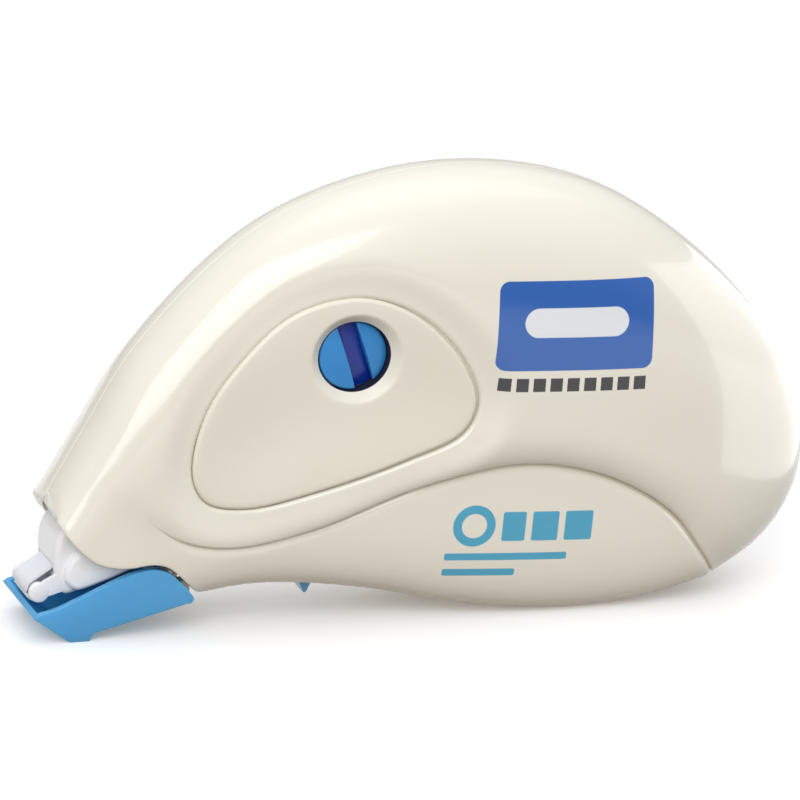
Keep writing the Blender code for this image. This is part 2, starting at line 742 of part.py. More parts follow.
def ribbon(path):
    """A thin flat strip of the tape's width that follows a path in the XZ plane."""
    half = TAPE_THICK / 2
    left, right = [], []
    for i, (x, z) in enumerate(path):
        ahead = path[min(i + 1, len(path) - 1)]
        behind = path[max(i - 1, 0)]
        run = Vector((ahead[0] - behind[0], ahead[1] - behind[1])).normalized()
        left.append((x - run.y * half, z + run.x * half))
        right.append((x + run.y * half, z - run.x * half))
    return plate(left + right[::-1], -TAPE_WIDTH / 2, TAPE_WIDTH / 2)


LAP = FIT + TAPE_THICK / 2
TIP_LAP = TIP_RADIUS + LAP
TIP_SLOPE = 31.5


def fresh_tape_run():
    """New tape: off the underside of the supply roll, over the guide pin, to the press edge."""
    roll_lap = SUPPLY_TAPE_RADIUS + LAP
    pin_lap = GUIDE_RADIUS + LAP
    leave = tangent_angle((GUIDE_PIN[0], GUIDE_PIN[1] + pin_lap), SUPPLY_CENTRE, roll_lap, 1) - 360
    path = arc(SUPPLY_CENTRE, roll_lap, leave + 50, leave, 8)
    path += arc(GUIDE_PIN, pin_lap, 98, 90 + TIP_SLOPE, 3)
    path += arc(TIP_BAR, TIP_LAP, TIP_SLOPE - 90, TIP_SLOPE - 180 - 4, 8)
    return ribbon(path)


def used_liner_run():
    """Bare liner: from the press edge over the tongue to the underside of the take-up roll."""
    roll_lap = TAKE_UP_ROLL_RADIUS + LAP
    bend = (-34, 14.6)
    reach = tangent_angle(bend, KNOB_CENTRE, roll_lap, 1)
    path = arc(TIP_BAR, TIP_LAP, TIP_SLOPE - 180 - 24, TIP_SLOPE - 270, 6)
    path.append(bend)
    path += arc(KNOB_CENTRE, roll_lap, reach, reach + 50, 8)
    return ribbon(path)


# ---- assembly ----

def build():
    link_part("left_shell", half_shell(-1), IVORY, 0.25)
    link_part("right_shell", half_shell(1), IVORY, 0.25)
    link_part("left_thumb_panel", thumb_panel(-1, WINDOW_RADIUS), (0.76, 0.72, 0.64), 0.4)
    link_part("right_thumb_panel", thumb_panel(1, 0), (0.76, 0.72, 0.64), 0.4)
    link_part("tip_cap", tip_cap(), BLUE, 0.3, HINGE)
    link_part("cap_catch", cap_catch(), BLUE, 0.35)
    link_part("applicator_head", applicator_head(), (0.82, 0.84, 0.88), 0.25)
    link_part("guide_pin", drum(GUIDE_PIN, GUIDE_RADIUS, -5.3, 5.3, sides=20), (0.8, 0.8, 0.78), 0.4)
    link_part("chassis", chassis(), BLUE, 0.4)
    link_part("supply_gear", supply_gear(), (0.85, 0.85, 0.82), 0.4, SUPPLY_CENTRE)
    link_part("supply_retainer", tube(SUPPLY_CENTRE, SUPPLY_POST_RADIUS + FIT, 4.0, -7.1, -6.3),
              (0.1, 0.1, 0.11), 0.5, SUPPLY_CENTRE)
    link_part("clutch_ring", tube(SUPPLY_CENTRE, SUPPLY_HUB_RADIUS + FIT, CLUTCH_RADIUS, -1.2, 1.2),
              (0.05, 0.05, 0.05), 0.8, SUPPLY_CENTRE)
    link_part("supply_core", core(SUPPLY_CENTRE, CLUTCH_RADIUS + FIT, SUPPLY_CORE_RADIUS,
                                  SUPPLY_FLANGE_RADIUS), (0.8, 0.83, 0.86), 0.3, SUPPLY_CENTRE)
    link_part("supply_tape_roll", roll(SUPPLY_CENTRE, SUPPLY_CORE_RADIUS, SUPPLY_TAPE_RADIUS),
              (0.93, 0.93, 0.92), 0.6, SUPPLY_CENTRE)
    link_part("take_up_gear", take_up_gear(), (0.85, 0.85, 0.82), 0.4, KNOB_CENTRE)
    link_part("take_up_core", core(KNOB_CENTRE, 3.0 + FIT, TAKE_UP_CORE_RADIUS, TAKE_UP_FLANGE_RADIUS),
              (0.8, 0.83, 0.86), 0.3, KNOB_CENTRE)
    link_part("take_up_liner_roll", roll(KNOB_CENTRE, TAKE_UP_CORE_RADIUS, TAKE_UP_ROLL_RADIUS),
              (0.75, 0.74, 0.66), 0.5, KNOB_CENTRE)
    link_part("tension_knob", tension_knob(), BLUE, 0.3, KNOB_CENTRE)
    link_part("fresh_tape_run", fresh_tape_run(), (0.95, 0.95, 0.94), 0.6)
    link_part("used_liner_run", used_liner_run(), (0.75, 0.74, 0.66), 0.5)


clear_scene()
PARTS = make_collection(COLLECTION)
CUTTERS = make_collection("cutters")
build()
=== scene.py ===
from math import cos, pi, radians, sin, sqrt

import bmesh
import bpy
import numpy as np
from mathutils import Matrix, Vector
from mathutils.geometry import delaunay_2d_cdt


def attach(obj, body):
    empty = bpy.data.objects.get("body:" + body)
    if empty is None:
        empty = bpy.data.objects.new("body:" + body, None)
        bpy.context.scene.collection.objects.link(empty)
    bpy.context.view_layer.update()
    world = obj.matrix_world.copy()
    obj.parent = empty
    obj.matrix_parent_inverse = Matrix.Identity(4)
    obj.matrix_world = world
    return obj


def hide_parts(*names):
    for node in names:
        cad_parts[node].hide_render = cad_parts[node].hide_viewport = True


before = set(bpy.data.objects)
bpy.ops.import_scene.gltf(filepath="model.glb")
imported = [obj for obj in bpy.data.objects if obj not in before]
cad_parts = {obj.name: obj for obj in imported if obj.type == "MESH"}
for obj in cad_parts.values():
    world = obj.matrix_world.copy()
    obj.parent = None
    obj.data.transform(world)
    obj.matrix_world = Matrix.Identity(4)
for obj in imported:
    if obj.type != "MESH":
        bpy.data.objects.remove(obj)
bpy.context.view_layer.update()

MM = 0.001

# ---- driving dimensions: the frame's, with a rounder belly and a finer window and knob ----

REAR_X = 47.6
WALL = 1.5
SEAM = 0.03
KNOB_CENTRE = (-11.1, 32.8)
HINGE = (-29.2, 4.2)
TIP_BAR = (-46.2, 5.2)
NOTCH_X = 36.6

RIDGE = [(-54, 0.5), (-45.7, 14.4), (-40.7, 23.3), (-34.7, 33.2), (-21.5, 46), (-7.4, 51.7), (7, 52.8),
         (22, 49.1), (37.5, 37.5), (45.3, 25.6), (REAR_X, 17)]
KEEL = [(-54, -3), (-44, 0.5), (-28.4, 3.8), (-20, 4.7), (-8, 3.5), (3, 1.2), (13, -0.1), (24, 0),
        (32, 1.4), (38, 3.2), (42.5, 6.3), (45.8, 10.8), (REAR_X, 17)]
STEP = [(-54, 27), (-36, 15.2), (-30.4, 11.4), (-24.1, 10.3), (-15.3, 12.1), (-2.9, 17),
        (9.1, 19.4), (19.1, 17.6), (28.2, 12.4), (32.8, 6.9), (NOTCH_X, 1.4), (39.6, -3)]
UPPER_WIDTH = [(-60, 6.2), (-44, 7), (-30, 8.3), (-15, 10.3), (0, 11.5), (12, 12), (30, 12), (50, 12)]
BELLY_WIDTH = [(-60, 6.1), (-44, 6.9), (-30, 7.4), (-15, 8.2), (0, 9.4), (12, 10), (30, 10.2),
               (50, 10.5)]
ROUND_START = 14.0
ROUND_POWER = 2.3
POWER_ABOVE = 2.6
POWER_BELOW = 3.0
POWER_BELLY = 5.0

PANEL = [(-29.5, 19.2), (-28.6, 25.8), (-25, 32), (-18.6, 38.1), (-11, 40), (-4.6, 38),
         (0.8, 32.9), (3.1, 27.4), (1.6, 23.8), (-5, 20.6), (-15.2, 17), (-23.2, 15.1), (-27.8, 16)]
PANEL_DROP = 1.15
PANEL_DISH = 1.0
PANEL_DISH_REACH = 9.0
PANEL_THICK = 1.3
PANEL_ROUND = 0.45
PANEL_GAP = 0.3
FLANGE_WIDTH = 1.1
FLANGE_GAP = 0.35
FLANGE_THICK = 0.9
WINDOW_RADIUS = 4.2
FUNNEL_WIDTH = 1.25
FUNNEL_DEPTH = 1.0
FUNNEL_PROFILE = [(0, 1.0), (0.06, 0.93), (0.3, 0.66), (0.55, 0.36), (0.75, 0.15), (0.88, 0.045)]
COLLAR_WALL = 0.7
COLLAR_BACK = -6.1
KNOB_FACE = -7.8
KNOB_RADIUS = 4.05
KNOB_RIM = 0.3
KNOB_DOME = 0.45
KNOB_ROUND = 0.1
KNOB_BACK = -6.0
KNOB_SLOT_WIDTH = 2.35
KNOB_SLOT_SHIFT = 0.3
KNOB_SLOT_DEPTH = 1.5
SLOT_ANGLE = 71.0
STEM_RADIUS = 1.5
STEM_END = -3.2

MOUTH = [(-48.5, 20.2), (-45.8, 15.7), (-44.6, 13.6), (-43.3, 11.8), (-41.9, 10.4), (-40.4, 9.3),
         (-38.2, 8.65), (-36.1, 8.55), (-34.7, 8.75), (-33.3, 8.75), (-31.9, 8.3), (-30.6, 7.2),
         (-29.3, 5.85), (-28.5, 5), (-27.8, 4.5), (-27, 4.15), (-26.6, 2)]

CAP_HALF_WIDTH = 6.6
CAP_WALL = 0.9
CAP_SIDE = [(-47.6, 3.1), (-44.4, 0.8), (-43.2, 0), (-41, 0), (-40.3, 0.95), (-29.4, 3.75)]
CAP_REAR = [(-28.85, 3.8), (-28.6, 4.3), (-29.3, 5.35), (-30.5, 6.6), (-31.7, 7.6), (-33, 8.05),
            (-34.2, 8.1), (-36, 7.75), (-37.7, 7.15), (-40.1, 6.1), (-42.6, 5), (-45, 4), (-47, 3.5)]
CAP_POCKET = [(-46.6, 3.2), (-43.9, 1.6), (-40.4, 1.95), (-31.3, 4.25), (-31, 1), (-25, 1),
              (-25, 14), (-49, 14), (-49, 4.8)]
CAP_ROUND = 0.2
PIN_RADIUS = 0.45
PIN_SINK = 0.3

HEAD_HALF = 3.9
HEAD_ROUND = 1.3
CHANNEL_HALF = 2.85
HEAD_SIDE = [(-37.8, 17), (-31.6, 14.2), (-32.4, 9), (-36.8, 6.9), (-39.5, 5.9), (-41.1, 5.3),
             (-43.2, 4.8), (-44.1, 6.2), (-44.5, 8), (-44.5, 10), (-44.2, 11.6), (-43.1, 13.2),
             (-40.8, 15)]
UPPER_CHANNEL = [(-29, 17), (-45.3, 6.3), (-49, 4.5), (-49, 8.35), (-44.3, 8.35), (-43.4, 9.1),
                 (-43.4, 10), (-43.1, 11.2), (-42.4, 12.3), (-40.2, 14), (-37, 15.8), (-31, 24),
                 (-29, 24)]
LOWER_CHANNEL = [(-45.4, 4.9), (-31, 13.7), (-29, 14.9), (-29, 0), (-48, 0), (-48, 4.2)]
CHEEK_PAD = [(-43.5, 6.9), (-42.2, 5.55), (-40.8, 5.75), (-39.4, 6.2), (-36.7, 7.2), (-33.8, 8.7),
             (-33.7, 9.9), (-35.5, 10.3), (-39.5, 10.5), (-42.6, 9.6)]
CHEEK_SPAN = (3.2, 4.9)
CHEEK_ROUND = 0.6
EAR_ARM = [(-42.8, 8), (-45.6, 6.5), (-46.7, 5.6), (-46.2, 4.4), (-42.8, 5.4)]
TIP_RADIUS = 0.8
EAR_RADIUS = 1.2
EAR_SPAN = (3.0, 3.75)
EAR_ROUND = 0.2

HOOK_RADIUS = 1.1
HOOK_BORE = 0.65
HOOK_SPAN = (1.6, 3.2)
HOOK_ROUND = 0.12
POSTS = [(-26.5, 36.3), (38, 27), (22, 8.2)]
POST_RADIUS = 1.8
SOCKET_RADIUS = 1.1
DOWEL_RADIUS = 0.8
POST_SEAM = 0.15
SOCKET_DEPTH = 4.5
DOWEL_LENGTH = 3.3
DOWEL_TAPER = 3.0

# Fine shape of the shells. The upper form rolls over down to the step line, with a groove below it;
# both fade out towards the nose. The form sinks and rounds towards the panel's opening.
ROLL_OVER = 4.5
GROOVE = 0.75
GROOVE_LIP = 1.1
GROOVE_EDGE = 0.3
GROOVE_START = -34
GROOVE_FADE = 6
NOSE_X = -29
NOSE_FADE = 8
NOSE_STEP_WIDTH = 5.0
RIM_ROUND = 0.5
RIM_SINK = 1.15
RIM_REACH = 4.4
MOUTH_ROUND = 0.25
SEAM_ROUND = 0.06

# Spacing of the mesh, and of the points along its lines
MESH_STEP = 1.0
LINE_STEP = 0.7


# ---- curves ----

def smooth_curve(points, steps, closed=False):
    """Centripetal Catmull-Rom curve through the points, as an array of (x, z)."""
    points = np.array(points, dtype=float)
    if closed:
        chain = np.vstack([points[-1:], points, points[:2]])
    else:
        chain = np.vstack([2 * points[0] - points[1], points, 2 * points[-1] - points[-2]])
    share = np.linspace(0, 1, steps, endpoint=False)[:, None]
    pieces = []
    for p0, p1, p2, p3 in zip(chain, chain[1:], chain[2:], chain[3:]):
        t1 = sqrt(np.linalg.norm(p1 - p0))
        t2 = t1 + sqrt(np.linalg.norm(p2 - p1))
        t3 = t2 + sqrt(np.linalg.norm(p3 - p2))
        t = t1 + (t2 - t1) * share
        a1 = p0 + (p1 - p0) * t / t1
        a2 = p1 + (p2 - p1) * (t - t1) / (t2 - t1)
        a3 = p2 + (p3 - p2) * (t - t2) / (t3 - t2)
        b1 = a1 + (a2 - a1) * t / t2
        b2 = a2 + (a3 - a2) * (t - t1) / (t3 - t1)
        pieces.append(b1 + (b2 - b1) * (t - t1) / (t2 - t1))
    if not closed:
        pieces.append(points[-1:])
    return np.vstack(pieces)


def evenly(line, spacing, closed=False):
    """The line again, with its points at even distances."""
    if closed:
        line = np.vstack([line, line[:1]])
    length = np.concatenate([[0], np.cumsum(np.linalg.norm(np.diff(line, axis=0), axis=1))])
    count = max(int(round(length[-1] / spacing)), 2)
    places = np.linspace(0, length[-1], count + 1)
    if closed:
        places = places[:-1]
    return np.column_stack([np.interp(places, length, line[:, i]) for i in (0, 1)])


def left_of(line, closed=False):
    """Unit vectors to the left of the line's direction of travel, one for each point."""
    if closed:
        run = np.roll(line, -1, axis=0) - np.roll(line, 1, axis=0)
    else:
        run = np.gradient(line, axis=0)
    run /= np.linalg.norm(run, axis=1)[:, None]
    return np.column_stack([-run[:, 1], run[:, 0]])


def line_distance(points, line, closed=False):
    """Signed distance of each point from a line, positive on the line's left."""
    start = line if closed else line[:-1]
    run = (np.roll(line, -1, axis=0) - line) if closed else np.diff(line, axis=0)
    long = (run ** 2).sum(axis=1)
    result = np.empty(len(points))
    for first in range(0, len(points), 2000):
        part = points[first:first + 2000]
        away = part[:, None, :] - start[None]
        share = np.clip((away * run[None]).sum(axis=2) / long[None], 0, 1)
        gap = away - share[..., None] * run[None]
        reach = (gap ** 2).sum(axis=2)
        best = reach.argmin(axis=1)
        rows = np.arange(len(part))
        side = run[best, 0] * away[rows, best, 1] - run[best, 1] * away[rows, best, 0]
        result[first:first + 2000] = np.sqrt(reach[rows, best]) * np.where(side >= 0, 1, -1)
    return result


def inside(points, polygon):
    """True for the points inside a closed polygon."""
    x, z = points[:, 0:1], points[:, 1:2]
    ahead = np.roll(polygon, -1, axis=0)
    rise = ahead[:, 1] - polygon[:, 1]
    rise = np.where(rise == 0, 1e-12, rise)
    spans = (polygon[:, 1] > z) != (ahead[:, 1] > z)
    reach = polygon[:, 0] + (z - polygon[:, 1]) / rise * (ahead[:, 0] - polygon[:, 0])
    return ((spans & (x < reach)).sum(axis=1) % 2) == 1


def smoothstep(t):
    """0 below 0, 1 above 1, and a smooth rise between."""
    t = np.clip(t, 0, 1)
    return t * t * (3 - 2 * t)


def quarter(t, radius):
    """Depth of a rounded edge at a distance t from it: radius at the edge, nothing beyond radius."""
    t = np.clip(t, 0, radius)
    return radius - np.sqrt(np.maximum(radius ** 2 - (radius - t) ** 2, 0))


RIDGE_LINE = smooth_curve(RIDGE, 40)
KEEL_LINE = smooth_curve(KEEL, 40)
STEP_LINE = evenly(smooth_curve(STEP, 20), LINE_STEP)
UPPER_LINE = smooth_curve(UPPER_WIDTH, 20)
BELLY_LINE = smooth_curve(BELLY_WIDTH, 20)
PANEL_LINE = evenly(smooth_curve(PANEL, 24, closed=True)[::-1], LINE_STEP, closed=True)
MOUTH_LINE = evenly(smooth_curve(MOUTH, 16), LINE_STEP)


# ---- the body form ----

def section_table(power, breadth, height):
    """Arc length against height, along a quarter of a superellipse."""
    angle = np.linspace(0, pi / 2, 600)
    rise = np.sin(angle) ** (2 / power)
    across = np.cos(angle) ** (2 / power)
    pace = np.hypot(np.diff(rise) * height, np.diff(across) * breadth)
    return np.concatenate([[0], np.cumsum(pace)]), rise


SECTION_HEIGHT = 26
ABOVE_LENGTH, ABOVE_HEIGHT = section_table(POWER_ABOVE, 12, SECTION_HEIGHT)
BELOW_LENGTH, BELOW_HEIGHT = section_table(POWER_BELLY, 10, SECTION_HEIGHT)
ROUND_REACH = REAR_X - ROUND_START
U_REAR = ROUND_START + ROUND_REACH * pi / 2
V_RIDGE = ABOVE_LENGTH[-1]
V_KEEL = -BELOW_LENGTH[-1]


def place_of(u, v):
    """Side view place (x, z) of surface coordinates, with the height as a share of the half height."""
    x = np.where(u > ROUND_START, ROUND_START + ROUND_REACH * np.sin((u - ROUND_START) / ROUND_REACH), u)
    height = np.where(v >= 0, np.interp(v, ABOVE_LENGTH, ABOVE_HEIGHT),
                      -np.interp(-v, BELOW_LENGTH, BELOW_HEIGHT))
    top = np.interp(x, RIDGE_LINE[:, 0], RIDGE_LINE[:, 1])
    low = np.interp(x, KEEL_LINE[:, 0], KEEL_LINE[:, 1])
    return x, (top + low) / 2 + (top - low) / 2 * height, height


def surface_place(line):
    """Surface coordinates (u, v) of side view points (x, z)."""
    x, z = line[:, 0], line[:, 1]
    back = np.arcsin(np.clip((x - ROUND_START) / ROUND_REACH, 0, 1))
    u = np.where(x > ROUND_START, ROUND_START + ROUND_REACH * back, x)
    top = np.interp(x, RIDGE_LINE[:, 0], RIDGE_LINE[:, 1])
    low = np.interp(x, KEEL_LINE[:, 0], KEEL_LINE[:, 1])
    height = (z - (top + low) / 2) / np.maximum((top - low) / 2, 1e-6)
    v = np.where(height >= 0, np.interp(height, ABOVE_HEIGHT, ABOVE_LENGTH),
                 -np.interp(-height, BELOW_HEIGHT, BELOW_LENGTH))
    return np.column_stack([u, v]), np.abs(height) < 0.9995


def half_width(x, height, line, below):
    """Half width of a form from its width along x; height is a share of the half height."""
    back = np.clip((x - ROUND_START) / ROUND_REACH, 0, 1)
    widest = np.interp(x, line[:, 0], line[:, 1]) * (1 - back ** ROUND_POWER) ** (1 / ROUND_POWER)
    power = np.where(height >= 0, POWER_ABOVE, below)
    return widest * np.maximum(1 - np.abs(height) ** power, 0) ** (1 / power)


def upper_width(x, z):
    """Half width of the upper form at side view places."""
    top = np.interp(x, RIDGE_LINE[:, 0], RIDGE_LINE[:, 1])
    low = np.interp(x, KEEL_LINE[:, 0], KEEL_LINE[:, 1])
    height = np.clip((z - (top + low) / 2) / np.maximum((top - low) / 2, 1e-6), -1, 1)
    return half_width(x, height, UPPER_LINE, POWER_BELOW)


def upper_normals(u, v):
    """Outward normals of the upper form, as (x, y, z) with +Y outwards."""
    reach = 0.05
    corners = []
    for du, dv in ((-reach, 0), (reach, 0), (0, -reach), (0, reach)):
        x, z, height = place_of(np.clip(u + du, -60, U_REAR), np.clip(v + dv, V_KEEL, V_RIDGE))
        corners.append(np.column_stack([x, half_width(x, height, UPPER_LINE, POWER_BELOW), z]))
    normal = np.cross(corners[3] - corners[2], corners[1] - corners[0])
    return normal / np.maximum(np.linalg.norm(normal, axis=1), 1e-12)[:, None]


def shell_points(u, v):
    """Outer and inner skin of a half shell at surface coordinates, and how deep in a groove they lie."""
    x, z, height = place_of(u, v)
    side = np.column_stack([x, z])
    upper = half_width(x, height, UPPER_LINE, POWER_BELOW)
    belly = half_width(x, height, BELLY_LINE, POWER_BELLY)
    above = line_distance(side, STEP_LINE)
    front = smoothstep((NOSE_X - x) / NOSE_FADE)
    crisp = np.sqrt(np.maximum(1 - (1 - np.clip(above / ROLL_OVER, 0, 1)) ** 2, 0))
    soft = smoothstep(above / NOSE_STEP_WIDTH + 0.5)
    share = crisp * (1 - front) + soft * front
    skin = belly + (upper - belly) * share
    depth = np.where(above < 0, quarter(-above, GROOVE_LIP) / GROOVE_LIP,
                     quarter(above, GROOVE_EDGE) / GROOVE_EDGE)
    depth = depth * smoothstep((x - GROOVE_START) / GROOVE_FADE)
    from_panel = -line_distance(side, PANEL_LINE, closed=True) - PANEL_GAP
    rim = RIM_SINK * (1 - smoothstep(from_panel / RIM_REACH)) + quarter(from_panel, RIM_ROUND)
    from_mouth = np.abs(line_distance(side, MOUTH_LINE))
    edge = quarter(from_mouth, MOUTH_ROUND)
    seam = quarter(np.maximum(skin - SEAM, 0), SEAM_ROUND)
    normal = upper_normals(u, v)
    form = np.column_stack([x, skin, z])
    outer = form - normal * (GROOVE * depth + rim + edge + seam)[:, None]
    inner = form - normal * WALL
    for layer in (outer, inner):
        layer[:, 1] = np.maximum(layer[:, 1], SEAM)
        layer[:, 2] = np.maximum(layer[:, 2], 0)
    return outer, inner, np.clip(depth, 0, 1)


# ---- fine mesh of a half shell ----

def shrinkage(u):
    """Half height of the form at u, as a share of the height that v was measured on."""
    x = np.where(u > ROUND_START, ROUND_START + ROUND_REACH * np.sin((u - ROUND_START) / ROUND_REACH), u)
    top = np.interp(x, RIDGE_LINE[:, 0], RIDGE_LINE[:, 1])
    low = np.interp(x, KEEL_LINE[:, 0], KEEL_LINE[:, 1])
    return (top - low) / 2 / SECTION_HEIGHT


def flattened(places):
    """Surface coordinates drawn at about their true size."""
    return np.column_stack([places[:, 0], places[:, 1] * shrinkage(places[:, 0])])


def restored(places):
    """Surface coordinates of flattened ones."""
    v = places[:, 1] / np.maximum(shrinkage(places[:, 0]), 1e-6)
    return np.column_stack([places[:, 0], np.clip(v, V_KEEL, V_RIDGE)])


def offset_rows(line, offsets, closed=False):
    """Rows of points beside a line, at each of the distances to its left."""
    side = left_of(line, closed)
    return [line + side * distance for distance in offsets]


def apart(points, others, gap):
    """True for the points that lie further than gap from every other point."""
    keep = np.ones(len(points), dtype=bool)
    if len(others):
        for first in range(0, len(points), 1000):
            part = points[first:first + 1000]
            reach = ((part[:, None, :] - others[None]) ** 2).sum(axis=2).min(axis=1)
            keep[first:first + 1000] = reach > gap * gap
    return keep


def shell_outline():
    """The shell's edge, flattened: mouth edge, ridge, rear and keel."""
    edge, within = surface_place(MOUTH_LINE)
    edge = edge[within]
    edge[0, 1] = V_RIDGE
    edge[-1, 1] = V_KEEL
    ridge = np.arange(edge[0, 0] + 0.8, U_REAR - 0.4, 0.8)
    keel = np.arange(U_REAR - 0.8, edge[-1, 0] + 0.4, -0.8)
    return flattened(np.vstack([edge[::-1],
                                np.column_stack([ridge, np.full(len(ridge), V_RIDGE)]),
                                [(U_REAR, 0)],
                                np.column_stack([keel, np.full(len(keel), V_KEEL)])]))


def surface_grid():
    """Flattened points spread over the shell, about MESH_STEP apart."""
    points = []
    for column, u in enumerate(np.arange(-48, U_REAR - 0.5, MESH_STEP)):
        scale = float(shrinkage(np.array(u)))
        low, top = V_KEEL * scale, V_RIDGE * scale
        shift = 0.5 if column % 2 else 0
        rows = np.arange(low + (0.25 + shift) * MESH_STEP, top, MESH_STEP)
        points.append(np.column_stack([np.full(len(rows), u), rows]))
    return np.vstack(points)


# Distances of the mesh rows that follow the seam, the panel's opening, the step line and the mouth
SEAM_ROWS = (0.02, 0.05, 0.1, 0.3, 0.8)
TIGHT = 1.2
RIM_ROWS = (0.05, 0.12, 0.2, 0.35, 0.6, 1, 1.6, 2.3, 3.1, 4)
STEP_ROWS = (-1.5, -1.1, -0.85, -0.65, -0.45, -0.28, -0.14, -0.05, 0.03, 0.1, 0.2, 0.3, 0.5, 0.8, 1.2,
             1.7, 2.3, 3, 3.8, 4.7)
MOUTH_ROWS = (0.05, 0.13, 0.25, 0.6)
CREASE_X = -35


def seam_rows():
    """Flattened rows along the ridge and the keel, where the two halves meet."""
    u = np.arange(-47, U_REAR - 1.5, 0.8)
    scale = shrinkage(u)
    rows = []
    for depth in SEAM_ROWS:
        rows.append(np.column_stack([u, V_RIDGE * scale - depth]))
        rows.append(np.column_stack([u, V_KEEL * scale + depth]))
    return rows


def shell_domain():
    """Triangulated surface coordinates of a half shell: points and triangles.

    Rows close to a line are kept as edges, so that its rounded profile is meshed in strips.
    """
    outline = shell_outline()
    opening = flattened(surface_place(PANEL_LINE - left_of(PANEL_LINE, True) * PANEL_GAP)[0])
    points = [outline, opening]
    edges = []
    first = 0
    for loop in points:
        count = len(loop)
        edges += [(first + i, first + (i + 1) % count) for i in range(count)]
        first += count
    rows = [(row, True) for row in seam_rows()]
    crease = STEP_LINE[STEP_LINE[:, 0] > CREASE_X]
    for line, offsets, closed in ((MOUTH_LINE, MOUTH_ROWS, False), (crease, STEP_ROWS, False),
                                  (PANEL_LINE, [-PANEL_GAP - t for t in RIM_ROWS], True)):
        for row, offset in zip(offset_rows(line, offsets, closed), offsets):
            if closed:
                row = np.vstack([row, row[:1]])
            place, within = surface_place(row)
            place[~within] = (0, 1e6)
            rows.append((flattened(place), abs(offset) < TIGHT))
    for row, tight in sorted(rows, key=lambda entry: not entry[1]):
        keep = inside(row, outline) & ~inside(row, opening)
        keep &= apart(row, np.vstack(points), 0.015 if tight else 0.3)
        numbers = np.where(keep, np.cumsum(keep) - 1 + first, -1)
        points.append(row[keep])
        first += int(keep.sum())
        if tight:
            edges += [(a, b) for a, b in zip(numbers, numbers[1:]) if a >= 0 and b >= 0]
    grid = surface_grid()
    grid = grid[inside(grid, outline) & ~inside(grid, opening)]
    points.append(grid[apart(grid, np.vstack(points), 0.7 * MESH_STEP)])
    found = delaunay_2d_cdt([Vector(p) for p in np.vstack(points)], edges, [], 0, 1e-5)
    places = np.array([tuple(p) for p in found[0]])
    faces = np.array([face[:3] for face in found[2]])
    centres = places[faces].mean(axis=1)
    faces = faces[inside(centres, outline) & ~inside(centres, opening)]
    return restored(places), faces


def finish_mesh(name, shape, smooth=65):
    """Turns a bmesh in millimetres into a mesh object in metres."""
    bmesh.ops.remove_doubles(shape, verts=shape.verts, dist=0.002)
    bmesh.ops.dissolve_degenerate(shape, edges=shape.edges, dist=0.002)
    bmesh.ops.recalc_face_normals(shape, faces=shape.faces)
    bmesh.ops.scale(shape, vec=(MM, MM, MM), verts=shape.verts)
    mesh = bpy.data.meshes.new(name)
    shape.to_mesh(mesh)
    shape.free()
    mesh.shade_smooth()
    mesh.set_sharp_from_angle(angle=radians(smooth))
    piece = bpy.data.objects.new(name, mesh)
    bpy.context.scene.collection.objects.link(piece)
    return piece


def half_shell(name, side, domain):
    """One half of the body: its outer and inner skins, closed along every edge."""
    places, faces = domain
    outer, inner, depth = shell_points(places[:, 0], places[:, 1])
    shape = bmesh.new()
    # The groove depth is kept for the material, which paints shade into the grooves with it.
    groove_shade = shape.verts.layers.float.new("groove")
    skins = []
    for layer in (outer, inner):
        skin = []
        for (x, y, z), value in zip(layer, depth):
            corner = shape.verts.new((x, side * y, z))
            corner[groove_shade] = value
            skin.append(corner)
        skins.append(skin)
    outside, within = skins
    counts = {}
    for a, b, c in faces:
        shape.faces.new((outside[a], outside[b], outside[c]))
        shape.faces.new((within[c], within[b], within[a]))
        for edge in ((a, b), (b, c), (c, a)):
            key = (min(edge), max(edge))
            counts[key] = counts.get(key, 0) + 1
    for (a, b), uses in counts.items():
        if uses == 1:
            shape.faces.new((outside[a], outside[b], within[b], within[a]))
    return finish_mesh(name, shape)


# ---- thumb panels ----

def panel_depth(places):
    """Depth of the dished panel face below the upper form.

    It follows a softened distance from the panel's edge, which has no creases where the nearest
    stretch of edge changes.
    """
    spread = 1.6
    far = np.sqrt(((places[:, None, :] - PANEL_LINE[None]) ** 2).sum(axis=2))
    near = -spread * np.log(np.exp(-far / spread).sum(axis=1))
    level = -spread * np.log(2 * spread / LINE_STEP)
    share = np.clip((near - level) / PANEL_DISH_REACH, 0, 1)
    return PANEL_DROP + PANEL_DISH * (1 - (1 - share) ** 2)


